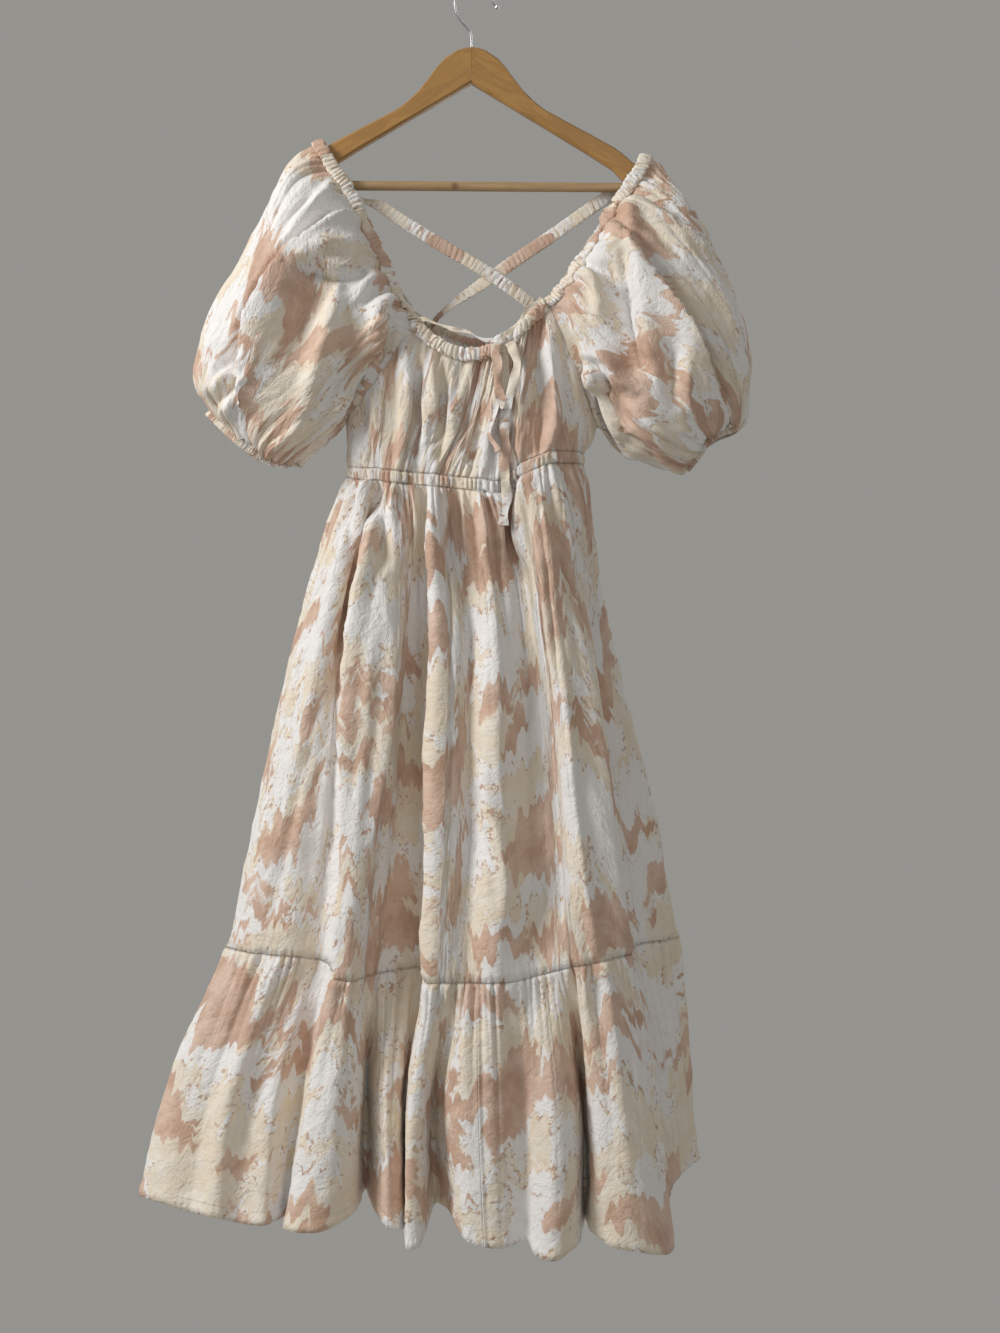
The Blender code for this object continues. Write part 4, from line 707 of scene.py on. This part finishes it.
def sleeve_grid(side, rings, creases, body, normals, places, corner, low, back_corner, sign, seed):
    """Return a sleeve's outer points, normals, flat places, stitch distances, edge counts and cuff row."""
    if low == 0:
        front = between(places, 0, corner)
        back = np.append(between(places, back_corner, len(BODY)), 0)
    else:
        front = between(places, corner, low)[::-1]
        back = between(places, low, back_corner)[::-1]
    edge_front = body[0, front]
    edge_back = body[0, back]
    path = np.concatenate([edge_front[-1:], spots(columns(HEAD_COLUMNS, HEADS), side), edge_back[:1]])
    spans = len(path) - 1
    over = through(path, np.linspace(0, spans, spans * STEPS_PER_LINE + 1))[1:-1]
    first = np.concatenate([edge_front, over, edge_back[:-1]])
    top = len(front) + STEPS_PER_LINE * 8 - 1
    walk, closing = walked(first, True)
    turn = 2 * math.pi * walk / closing
    share = np.where(walk <= walk[top], walk / walk[top], (closing - walk) / (closing - walk[top]))

    # Rings of the smooth sleeve, from its seam to the end of its cuff.
    levels = [first]
    c = columns(SLEEVE_COLUMNS, rings)
    for k in range(len(rings)):
        ring = np.array([(c["x%d" % i][k], c["z%d" % i][k]) for i in range(6)])
        read = through(ring, share * 5)
        depth = np.where(walk <= walk[top], -c["front"][k], c["back"][k])
        y = depth * np.sin(math.pi * np.clip(share, 0, 1)) ** 0.7
        levels.append(np.stack([read[:, 0], y, read[:, 1]], axis=1))
    level_places = np.concatenate([SLEEVE_PLACES, CUFF_PLACES[1:]])
    grid = down(levels, level_places)
    turned = surface_normals(grid, sign)
    fade = np.clip(np.minimum(level_places / 1.3, (CUFF_PLACE - level_places) / 2.4), 0, 1)
    grid = grid + turned * (crease_rise(grid, turned, creases) * fade[:, None])[..., None]
    turned = surface_normals(grid, sign)

    # Gathers at the head and above the cuff.
    cuff_row = len(SLEEVE_PLACES) - 1
    sleeve = slice(0, cuff_row + 1)
    fall = drop(grid)
    above = (fall[cuff_row] - fall)[sleeve]
    index = np.arange(len(first))
    elastic = np.clip(np.minimum(index - len(front), len(front) + len(over) - index) / 12.0, 0.15, 1)
    rise = np.zeros(grid.shape[:2])
    for seam, count, own, *sizes in SLEEVE_GATHERS:
        distance, hold = (fall[sleeve], elastic) if seam == "head" else (above, 1.0)
        rise[sleeve] += hold * gathers(distance, turn, count, seed + own, *sizes)

    # Wear, the ruched cuff, and the cloth that hangs over it.
    mask = np.clip(np.minimum(fall / 6, (fall[cuff_row] - fall) / 6), 0, 1)
    across, down_cloth = np.broadcast_arrays(walk * 1.3, fall)
    lean = math.radians(PRINT_LEAN)
    flat = np.stack([across * math.cos(lean) - sign * down_cloth * math.sin(lean),
                     down_cloth * math.cos(lean) + sign * across * math.sin(lean)], axis=-1) + 400 * seed
    rise += mask * worn(flat, SLEEVE_WEAR, seed)
    cuff = slice(cuff_row, len(grid))
    bulge = np.sin(np.linspace(0, math.pi, len(grid) - cuff_row)) ** 0.5
    band_height, pleat_height, count = CUFF_RUCHING
    rise[cuff] += bulge[:, None] * (band_height + pleat_height * (waves(turn, count, seed + 4) - 0.45))
    rise[0] = np.where(elastic <= 0.16, 0, rise[0])
    hang = OVERHANG * np.exp(-((above - 10) / 6.5) ** 2) * np.clip(above / 5, 0, 1)
    hang = hang * (0.65 + 0.55 * waves(turn, 24, seed + 6))
    rise[sleeve] += 0.6 * hang
    grid[sleeve] += unit(np.gradient(grid, axis=0))[sleeve] * hang[..., None]
    grid = grid + turned * rise[..., None]
    turned = surface_normals(grid, sign)
    turned[0] = np.concatenate([normals[0, front], turned[0, len(front):len(front) + len(over)],
                                normals[0, back[:-1]]])
    stitch = np.minimum(np.abs(fall - fall[cuff_row]), np.where(elastic <= 0.16, fall, fall + 5))
    return grid, turned, flat, stitch, len(front), len(over), cuff_row


def carry_on(flat):
    """Carry the flat places on into the last column, which closes a ring."""
    flat[:, -1, 0] = 2 * flat[:, -2, 0] - flat[:, -3, 0]


def shell(name, grid, normals, flat, stitch, surface, ring=False, thickness=SHELL):
    """Make a thin closed cloth shell with flat-cloth UVs and the distance to its stitching."""
    index = np.arange(stitch.size).reshape(stitch.shape)
    base = index.size
    if ring:
        index, flat = (np.concatenate([a, a[:, :1]], axis=1) for a in (index, flat))
        carry_on(flat)

    def corners(a):
        return np.stack([a[:-1, :-1], a[1:, :-1], a[1:, 1:], a[:-1, 1:]], axis=2).reshape(-1, 4, *a.shape[2:])

    rims = [(index[0], flat[0], 1), (index[-1], flat[-1], -1)]
    if not ring:
        rims += [(index[:, 0], flat[:, 0], -1), (index[:, -1], flat[:, -1], 1)]
    sides, side_uvs = [], []
    for line, spread, order in rims:
        a, b = (slice(1, None), slice(None, -1))[::order]
        sides.append(np.stack([line[a] + base, line[b] + base, line[b], line[a]], axis=1))
        side_uvs.append(np.stack([spread[a], spread[b], spread[b], spread[a]], axis=1))
    faces, uvs = corners(index), corners(flat)
    quads = np.concatenate([faces, faces[:, ::-1] + base, *sides])
    uvs = np.concatenate([uvs, uvs[:, ::-1], *side_uvs])
    points = np.concatenate([grid.reshape(-1, 3), (grid - normals * thickness).reshape(-1, 3)])
    held = np.tile(stitch.ravel(), 2)
    return quad_mesh(name, points, quads, uvs, held, surface, len(quads) - 2 * len(faces))


def inward(points, quads):
    """Tell whether a closed body's quads face into it."""
    corners = points - points.mean(axis=0)
    a, b, c, d = (corners[quads[:, k]] for k in range(4))
    return (a * (np.cross(b, c) + np.cross(c, d))).sum() < 0


def quad_mesh(name, points, quads, uv, stitch, surface, rims=0):
    """Make an object from millimetre points, quads, each corner's flat place and stitch distances.

    Its last quads are flat cut rims, and the others are smooth."""
    if inward(points, quads):
        quads = quads[:, ::-1]
        uv = uv[:, ::-1]
    mesh = bpy.data.meshes.new(name)
    mesh.vertices.add(len(points))
    mesh.vertices.foreach_set("co", (points * MM).ravel())
    mesh.loops.add(quads.size)
    mesh.polygons.add(len(quads))
    mesh.loops.foreach_set("vertex_index", quads.ravel())
    mesh.polygons.foreach_set("loop_start", np.arange(0, quads.size, 4))
    mesh.polygons.foreach_set("use_smooth", np.arange(len(quads)) < len(quads) - rims)
    mesh.update(calc_edges=True)
    layer = mesh.uv_layers.new(name="cloth")
    layer.data.foreach_set("uv", (uv * MM).ravel())
    held = mesh.attributes.new("stitch", "FLOAT", "POINT")
    held.data.foreach_set("value", stitch)
    mesh.materials.append(surface)
    made = bpy.data.objects.new(name, mesh)
    bpy.context.collection.objects.link(made)
    return made


def closed_rings(name, rings, across, along, surface):
    """Make a closed body from rings of points, with flat places across and along them."""
    count, around = rings.shape[:2]
    index = np.arange(count * around).reshape(count, around)
    after = np.roll(index, -1, axis=1)
    quads = np.stack([index[:-1], after[:-1], after[1:], index[1:]], axis=-1).reshape(-1, 4)
    start = np.arange(around // 2 - 1)
    cap = np.stack([start, around - 1 - start, around - 2 - start, start + 1], axis=-1)
    quads = np.concatenate([quads, cap, cap[:, ::-1] + (count - 1) * around])
    left, right = (np.tile(across[k:around + k], (count - 1, 1)) for k in (0, 1))
    low, high = (np.repeat(along[k:count - 1 + k], around).reshape(-1, around) for k in (0, 1))
    uv = np.stack([np.stack([left, right, right, left], axis=-1), np.stack([low, low, high, high], axis=-1)],
                  axis=-1).reshape(-1, 4, 2)
    ends = [np.full((len(cap), 4, 2), (across[0], level)) for level in (along[0], along[-1])]
    stitch = np.full(count * around, 20.0)
    return quad_mesh(name, rings.reshape(-1, 3), quads, np.concatenate([uv, *ends]), stitch, surface)


def tube(name, centres, ups, sides, radii, surface, squeeze):
    """Make a closed tube from rings of a rounded flat section, with domed ends and UVs along it."""
    around = TUBE_SIDES
    angle = 2 * math.pi * np.arange(around) / around
    wide, deep = (np.sign(k) * np.abs(k) ** 0.75 for k in (np.cos(angle), np.sin(angle)))
    walk, length = walked(centres)
    rings = (centres[:, None] + ups[:, None] * (wide[None, :, None] * radii[:, 0, None, None])
             + sides[:, None] * (deep[None, :, None] * radii[:, 1, None, None]))
    rings = rings + squeeze(walk, angle, ups, sides)
    first = rings[0].mean(axis=0)
    last = rings[-1].mean(axis=0)
    heads = [first + (rings[0] - first) * s - unit(centres[1] - centres[0]) * d
             for s, d in ((0.02, 0.9), (0.6, 0.6))]
    tails = [last + (rings[-1] - last) * s + unit(centres[-1] - centres[-2]) * d
             for s, d in ((0.6, 0.6), (0.02, 0.9))]
    rings = np.concatenate([np.array(heads), rings, np.array(tails)])
    walks = np.concatenate([[-0.9, -0.6], walk, [length + 0.6, length + 0.9]])
    girth = np.arange(around + 1) / around * 2.6 * (radii[:, 0].mean() + radii[:, 1].mean())
    return closed_rings(name, rings, girth, walks, surface)


def casing(name, edge, into, normals, surface, seed):
    """Make a ruched elastic casing that stands on an open edge of the cloth, seen from the front."""
    into = into * (1, 0.25, 1)
    path = edge + normals * CASING_OUT
    along = unit(np.gradient(path, axis=0))
    ups = unit((along * into).sum(axis=1, keepdims=True) * along - into)
    sides = unit(normals - (normals * ups).sum(axis=1, keepdims=True) * ups)
    centres = path + ups * (SEAM_GAP + CASING_HEIGHT - RUCHED_HEIGHT / 2)
    walk, length = walked(centres)
    keep = np.arange(CASING_TRIM, length - CASING_TRIM, RIBBON_STEP)

    def read(values):
        soft = np.stack([np.interp(keep, walk, values[:, k]) for k in range(3)], axis=1)
        return smooth(soft, 9)

    radii = np.tile([RUCHED_HEIGHT / 2, CASING_OUT], (len(keep), 1))
    return tube(name, read(centres), unit(read(ups)), unit(read(sides)), radii, surface,
                ruched(1.7, 4.8, seed))


def smooth(values, times):
    """Soften rows of values along a line, its ends held."""
    values = values.copy()
    for _ in range(times):
        values[1:-1] = (values[:-2] + 2 * values[1:-1] + values[2:]) / 4
    return values


def ruched(height, pitch, seed):
    """Return a squeeze that pleats a tube across, with uneven pleats."""

    def squeeze(walk, angle, ups, sides):
        phase = 2 * math.pi * walk / pitch + 1.3 * np.sin(walk / (pitch * 1.9) + seed)
        phase = phase + 1.1 * np.sin(walk / (pitch * 0.83) + 2.7 * seed)
        lean = 0.9 * np.sin(walk[:, None] / (pitch * 2.6) + angle[None] + seed)
        ridge = np.abs(np.cos(phase[:, None] / 2 + lean)) ** 0.8 - 0.5
        strength = height * (0.75 + 0.35 * np.sin(walk / (pitch * 1.3) + 4.1 * seed))[:, None]
        lift = strength * ridge
        wide, deep = np.cos(angle)[None, :, None], np.sin(angle)[None, :, None]
        return lift[..., None] * (ups[:, None] * wide * 1.1 + sides[:, None] * deep * 1.3)

    return squeeze


def crumpled(seed):
    """Return a squeeze that creases a narrow tie: it sways, its edges curl and its width varies."""

    def squeeze(walk, angle, ups, sides):
        ease = np.clip(np.minimum(walk, walk[-1] - walk) / 8.0, 0, 1)
        sway = 1.1 * np.sin(walk / 7.3 + seed) + 0.4 * np.sin(walk / 4.1 + 2.3 * seed)
        fold = 1.0 * np.sin(walk / 4.9 + 1.7 * seed) + 0.4 * np.sin(walk / 3.1 + 3.1 * seed)
        curl = 1.6 * np.sin(walk / 6.1 + 0.7 * seed)[:, None] * np.cos(angle)[None] ** 2
        pinch = (0.7 * np.sin(walk / 6.7 + 4.0 * seed) - 0.6)[:, None] * np.cos(angle)[None]
        across = ease[:, None] * (sway[:, None] + pinch)
        out = ease[:, None] * (fold[:, None] + curl)
        return ups[:, None] * across[..., None] + sides[:, None] * out[..., None]

    return squeeze


def ribbon(name, rows, width, thickness, surface, squeeze):
    """Make a soft flat ribbon along a path, and return it with its line and its length."""
    rows = np.array(rows, float)
    fine = through(rows, np.linspace(0, len(rows) - 1, (len(rows) - 1) * 40 + 1))
    walk, length = walked(fine[:, :3])
    keep = np.linspace(0, length, max(int(length / RIBBON_STEP), 12))
    read = np.stack([np.interp(keep, walk, fine[:, k]) for k in range(6)], axis=1)
    centres = read[:, :3]
    along = unit(np.gradient(centres, axis=0))
    across = read[:, 3:] - (read[:, 3:] * along).sum(axis=1, keepdims=True) * along
    across = unit(across)
    sides = np.cross(along, across)
    radii = np.tile([width / 2, thickness / 2], (len(centres), 1))
    return tube(name, centres, across, sides, radii, surface, squeeze), centres, length


class Value:
    """A shader socket that takes part in sums."""

    def __init__(self, tree, socket):
        self.tree = tree
        self.socket = socket

    def math(self, operation, *others):
        return add(self.tree, "ShaderNodeMath", {"operation": operation}, dict(enumerate((self, *others))))

    def __add__(self, other):
        return self.math("ADD", other)

    __radd__ = __add__

    def __sub__(self, other):
        return self.math("SUBTRACT", other)

    def __rsub__(self, other):
        return add(self.tree, "ShaderNodeMath", {"operation": "SUBTRACT"}, {0: other, 1: self})

    def __mul__(self, other):
        return self.math("MULTIPLY", other)

    __rmul__ = __mul__

    def step(self, low, high):
        """Rise smoothly from 0 to 1 between two values."""
        return add(self.tree, "ShaderNodeMapRange", {"interpolation_type": "SMOOTHSTEP"},
                   {"Value": self, "From Min": low, "From Max": high})


def add(tree, kind, settings=None, sockets=None, out=0):
    """Add a node, set it up and return one of its outputs."""
    node = tree.nodes.new(kind)
    for key, value in (settings or {}).items():
        setattr(node, key, value)
    for key, value in (sockets or {}).items():
        if isinstance(value, Value):
            tree.links.new(value.socket, node.inputs[key])
        else:
            node.inputs[key].default_value = value
    return Value(tree, node.outputs[out])


def mixed(tree, share, first, second):
    """Mix two colours by a share."""
    colours = {6: (*first, 1) if isinstance(first, tuple) else first,
               7: (*second, 1) if isinstance(second, tuple) else second}
    return add(tree, "ShaderNodeMix", {"data_type": "RGBA"}, {0: share, **colours}, out=2)


def fresh(name):
    """Return a new material, its tree and its Principled shader."""
    made = bpy.data.materials.new(name)
    made.use_nodes = True
    return made, made.node_tree, made.node_tree.nodes["Principled BSDF"]


def feed(tree, shader, socket, value):
    """Link a value into the shader, or set it."""
    if isinstance(value, Value):
        tree.links.new(value.socket, shader.inputs[socket])
    else:
        shader.inputs[socket].default_value = value


def field(tree, place, scale, detail=2.0, rough=0.5, distort=0.0):
    """Return noise from 0 to 1 over a place."""
    return add(tree, "ShaderNodeTexNoise", {"noise_dimensions": "3D"},
               {"Vector": place, "Scale": scale, "Detail": detail, "Roughness": rough,
                "Distortion": distort})


def printed_cotton():
    """Crisp cotton with a washed blotch print in white, cream and tan, and painted shade along its seams."""
    made, tree, shader = fresh("printed_cotton")
    cloth = add(tree, "ShaderNodeUVMap", {"uv_map": "cloth"})
    parts = tree.nodes.new("ShaderNodeSeparateXYZ")
    tree.links.new(cloth.socket, parts.inputs[0])
    u, v = Value(tree, parts.outputs[0]), Value(tree, parts.outputs[1])
    column = add(tree, "ShaderNodeCombineXYZ", None, {0: u, 1: v * 0.12, 2: 0.0})
    fingers = field(tree, column, FINGER_SCALE, 1.6, 0.5)
    ragged = field(tree, column, 230.0, 2.0, 0.6)
    lift = v + (fingers - 0.5) * FINGER_LENGTH + (ragged - 0.5) * 0.009
    place = add(tree, "ShaderNodeCombineXYZ", None, {0: u * 0.72, 1: lift, 2: 0.0})
    apart = add(tree, "ShaderNodeCombineXYZ", None, {0: u * 0.85, 1: lift, 2: 7.3})
    blot = field(tree, place, BLOT_SCALE, 3.0, 0.52, 0.4)
    wash = field(tree, apart, WASH_SCALE, 3.0, 0.55, 0.5)
    edge = field(tree, place, EDGE_SCALE, 3.5, 0.6)
    tan_at = blot + (edge - 0.5) * 0.09
    cream_at = wash + (edge - 0.5) * 0.15
    tan = tan_at.step(0.535, 0.552)
    cream = cream_at.step(0.48, 0.51)
    grain = field(tree, cloth, FRECKLE_SCALE, 3.5, 0.7)
    rim = cream_at.step(0.45, 0.485) * (1 - cream_at.step(0.50, 0.55))
    freckle = (grain + (edge - 0.5) * 0.5).step(0.555, 0.585) * rim
    cream_tone = mixed(tree, field(tree, cloth, 30.0, 3.0, 0.6).step(0.35, 0.7), CREAM, PALE_CREAM)
    tan_tone = mixed(tree, field(tree, cloth, 22.0, 4.0, 0.65).step(0.38, 0.62), TAN, PALE_TAN)
    colour = mixed(tree, cream * 0.92, WHITE, cream_tone)
    colour = mixed(tree, freckle * 0.75, colour, SPECKLE)
    colour = mixed(tree, tan * 0.90, colour, tan_tone)
    weave = (u * WEAVE_RATE).math("SINE") * (v * WEAVE_RATE).math("SINE")
    # Painted shade in the grooves along the seams and the hem's stitch line, broken into stitch dashes; the
    # same mask sinks the groove in the bump.
    held = add(tree, "ShaderNodeAttribute", {"attribute_name": "stitch"}, out=2)
    groove = 1 - held.step(0.0, 1.6)
    dash = (u * STITCH_RATE).math("SINE").step(-0.2, 0.2)
    seam = groove * (0.55 + dash * 0.45)
    feed(tree, shader, "Base Color", mixed(tree, seam * 0.09, colour, SEAM_SHADE))
    feed(tree, shader, "Roughness", 0.78 + (field(tree, cloth, 90.0, 2.0) - 0.5) * 0.16)
    crease = field(tree, cloth, 34.0, 5.0, 0.62, 0.4)
    sharp = 1 - ((crease - 0.5) * 2.0).math("ABSOLUTE")
    fine = 1 - ((field(tree, cloth, 85.0, 4.0, 0.6, 0.5) - 0.5) * 2.0).math("ABSOLUTE")
    threads = weave * 0.000035 + field(tree, cloth, 420.0, 2.0) * 0.00012
    relief = sharp * 0.0030 + fine * 0.0020 + threads - seam * 0.0009
    bump = add(tree, "ShaderNodeBump", None, {"Strength": 0.75, "Distance": 1.0, "Height": relief})
    feed(tree, shader, "Normal", bump)
    shader.inputs["Sheen Weight"].default_value = 0.12
    shader.inputs["Specular IOR Level"].default_value = 0.3
    return made


def hanger_wood(name, light, dark, along, tilt, knot_place=None):
    """Satin honey wood with its grain along one direction, and a small knot where one is placed."""
    made, tree, shader = fresh(name)
    spot = add(tree, "ShaderNodeTexCoord", None, None, out=3)
    level = add(tree, "ShaderNodeMapping", None, {"Vector": spot, "Rotation": (0.0, tilt, 0.0)})
    turned = add(tree, "ShaderNodeMapping", None, {"Vector": level, "Scale": along})
    rings = field(tree, turned, 1.0, 5.0, 0.6, 0.6)
    lines = ((rings * 26.0).math("SINE") * 0.5 + 0.5).step(0.1, 0.95)
    pores = field(tree, turned, 6.0, 4.0, 0.7).step(0.50, 0.72)
    body = mixed(tree, lines * 0.42, light, dark)
    blotch = field(tree, spot, 14.0, 2.0)
    body = mixed(tree, blotch.step(0.35, 0.75) * 0.35, body, tuple(c * 0.72 for c in light))
    body = mixed(tree, pores * 0.22, body, tuple(c * 0.5 for c in dark))
    if knot_place is not None:
        away = add(tree, "ShaderNodeVectorMath", {"operation": "DISTANCE"}, {0: spot, 1: knot_place}, out=1)
        ring = 1 - (away + (rings - 0.5) * 0.004).step(0.0015, 0.0065)
        body = mixed(tree, ring * 0.75, body, tuple(c * 0.45 for c in dark))
    feed(tree, shader, "Base Color", body)
    feed(tree, shader, "Roughness", 0.34 + pores * 0.18 + lines * 0.05)
    relief = pores * -0.00012 + lines * 0.00004
    bump = add(tree, "ShaderNodeBump", None, {"Strength": 0.08, "Distance": 1.0, "Height": relief})
    feed(tree, shader, "Normal", bump)
    shader.inputs["Coat Weight"].default_value = 0.2
    shader.inputs["Coat Roughness"].default_value = 0.22
    return made


def bright_steel():
    """Plated wire with fine drawn lines."""
    made, tree, shader = fresh("bright_steel")
    spot = add(tree, "ShaderNodeTexCoord", None, None, out=3)
    fine = field(tree, spot, 700.0, 2.0)
    feed(tree, shader, "Base Color", mixed(tree, fine.step(0.3, 0.8), *STEEL))
    feed(tree, shader, "Roughness", 0.14 + fine * 0.14)
    feed(tree, shader, "Metallic", 1.0)
    return made


def pale_floor():
    """Matt pale floor."""
    made, tree, shader = fresh("pale_floor")
    spot = add(tree, "ShaderNodeTexCoord", None, None, out=3)
    feed(tree, shader, "Base Color", mixed(tree, field(tree, spot, 3.0, 3.0), *FLOOR_TONES))
    feed(tree, shader, "Roughness", 0.85)
    return made


def ride(piece, node):
    """Fasten a finished cloth piece and let it stand for its node."""
    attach(piece, "root")
    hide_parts(node)


def camera():
    """Place the camera at the photo's distance and angle."""
    lens = bpy.data.cameras.new("view")
    lens.sensor_fit = "AUTO"
    lens.sensor_width = SENSOR
    lens.lens = FOCAL_PIXELS * SENSOR / PHOTO_HEIGHT
    lens.clip_end = 30
    made = bpy.data.objects.new("view", lens)
    bpy.context.collection.objects.link(made)
    made.location = CAMERA_PLACE
    made.rotation_euler = (math.pi / 2, 0, 0)
    bpy.context.scene.camera = made


def area_light(name, place, size, power, colour):
    """Add a soft rectangular light aimed at the dress."""
    lamp = bpy.data.lights.new(name, "AREA")
    lamp.shape = "RECTANGLE"
    lamp.size, lamp.size_y = size
    lamp.energy = power
    lamp.color = colour
    made = bpy.data.objects.new(name, lamp)
    bpy.context.collection.objects.link(made)
    made.location = place
    made.rotation_euler = (Vector(AIM) - Vector(place)).to_track_quat("-Z", "Y").to_euler()


def lights():
    """Soft window light from the upper left over a pale room tone."""
    world = bpy.data.worlds.new("room_tone")
    world.use_nodes = True
    back = world.node_tree.nodes["Background"]
    back.inputs[0].default_value = ROOM_TONE
    back.inputs[1].default_value = ROOM_STRENGTH
    bpy.context.scene.world = world
    bpy.context.scene.view_settings.view_transform = "Standard"
    for row in LIGHTS:
        area_light(*row)


def floor():
    """Add the pale floor under the hanging dress."""
    bpy.ops.object.select_all(action="DESELECT")
    bpy.ops.mesh.primitive_circle_add(vertices=96, radius=FLOOR_RADIUS, fill_type="NGON",
                                      location=FLOOR_PLACE)
    made = bpy.context.object
    made.name = "floor"
    made.data.materials.append(pale_floor())
    bpy.ops.object.transform_apply(location=True)


def dress(cloth):
    """Make every cloth piece of the dress."""
    grid, normals, flat, stitch, places, rows = dressed_body()
    names = [row[0] for row in BODY]
    side_right = names.index("side_right")
    near = between(places, 0, side_right)
    far = np.append(between(places, side_right, len(BODY)), 0)
    near_left = between(places, 0, PANEL_SEAM)
    near_right = between(places, PANEL_SEAM, side_right)
    for name, node, first, last, cols in (
            ("front_bodice", "bodice_front", "neck", "band_top", near),
            ("rear_bodice", "bodice_back", "neck", "band_top", far),
            ("front_waist", "waist_casing_front", "band_top", "band_low", near),
            ("rear_waist", "waist_casing_back", "band_top", "band_low", far),
            ("front_skirt", "skirt_front", "band_low", "tier", near),
            ("rear_skirt", "skirt_back", "band_low", "tier", far),
            ("flounce_left", "flounce_front_left", "tier", "hem", near_left),
            ("flounce_right", "flounce_front_right", "tier", "hem", near_right),
            ("flounce_rear", "flounce_back", "tier", "hem", far)):
        parts = [a[rows[first]:rows[last] + 1][:, cols].copy() for a in (grid, normals, flat, stitch)]
        if cols[-1] == 0:
            carry_on(parts[2])
        ride(shell(name, *parts, cloth), node)

    corners = {side: (names.index(a), names.index(b)) for side, a, b in
               (("left", "panel_mid", "back_j"), ("right", "raised_right", "back_c"))}
    for side, rings, creases, low_line, sign, seed in (
            ("left", LEFT_SLEEVE, LEFT_SLEEVE_CREASES, 0, -1, 1.7),
            ("right", RIGHT_SLEEVE, RIGHT_SLEEVE_CREASES, side_right, 1, 4.3)):
        front_corner, back_corner = corners[side]
        *parts, raglan, over, cuff_row = sleeve_grid(
            side, rings, creases, grid, normals, places, front_corner, low_line, back_corner, sign, seed)
        sleeve = shell("puff_" + side, *(a[:cuff_row + 1] for a in parts), cloth, True)
        ride(sleeve, "sleeve_" + side)
        cuff = shell("elastic_cuff_" + side, *(a[cuff_row:] for a in parts), cloth, True, CUFF_SHELL)
        ride(cuff, "cuff_" + side)
        points, turned = parts[:2]
        run = slice(raglan - 1, raglan + over + 1)
        edge = casing("elastic_neck_" + side, points[0, run], points[8, run] - points[0, run],
                      turned[0, run], cloth, seed)
        ride(edge, "neck_casing_" + side)
    for name, node, first, last in (
            ("front", "neck_casing_front", corners["left"][0], corners["right"][0]),
            ("rear", "neck_casing_back", corners["right"][1], corners["left"][1])):
        cols = between(places, first, last)
        edge = casing("elastic_neck_" + name, grid[0, cols], grid[2, cols] - grid[0, cols],
                      normals[0, cols], cloth, 2.2)
        ride(edge, node)


def ties(cloth):
    """Make the crossed straps, the drawstring and its bow."""
    for side, rows in (("left", STRAP_LEFT_UP), ("right", STRAP_RIGHT_UP)):
        strap = ribbon("strap_" + side, rows, *STRAP_SIZE, cloth, ruched(0.7, 6.5, 1.1))[0]
        ride(strap, "back_strap_" + side)
    bow_knot = knot(cloth)
    for name, node, rows, width, far_end, seed in CORDS:
        made, line, length = ribbon(name, rows, width, TIE_THICKNESS, cloth, crumpled(seed))
        ride(made, node)
        tuple(line[0] * MM)
        length * MM
        [tuple(p) for p in line[::3] * MM]


def knot(cloth):
    """Make the bow's knot: a small wrapped lump."""
    around, rings = 40, 24
    lift = np.linspace(0.06, math.pi - 0.06, rings)[:, None]
    turn = 2 * math.pi * np.arange(around)[None] / around
    swell = 1 + 0.07 * np.sin(3 * turn + 2.2 * lift) - 0.10 * np.exp(-((lift - 1.6) / 0.16) ** 2)
    points = np.stack([KNOT_CENTRE[0] + KNOT_RADII[0] * np.sin(lift) * np.cos(turn) * swell,
                       KNOT_CENTRE[1] + KNOT_RADII[1] * np.sin(lift) * np.sin(turn) * swell,
                       KNOT_CENTRE[2] + KNOT_RADII[2] * np.cos(lift) * np.ones_like(turn)], axis=-1)
    made = closed_rings("bow_knot", points, np.arange(around + 1) * 1.2, np.arange(rings) * 0.8, cloth)
    ride(made, "tie_knot")
    return made


def hanger():
    """Give the hanger's own solids their finishes."""
    finishes = {
        "hanger_arm_left": hanger_wood("wood_left", *ARM_WOOD, ARM_GRAIN, ARM_SLOPE),
        "hanger_arm_right": hanger_wood("wood_right", *ARM_WOOD, ARM_GRAIN, -ARM_SLOPE),
        "hanger_bar": hanger_wood("bar_wood", *BAR_WOOD, BAR_GRAIN, 0.0, BAR_KNOT),
        "hanger_hook": bright_steel()}
    for node, finish in finishes.items():
        for slot in bpy.data.objects[node].material_slots:
            slot.material = finish


def main():
    """Dress the frame."""
    camera()
    lights()
    floor()
    cloth = printed_cotton()
    ties(cloth)
    dress(cloth)
    hanger()


main()
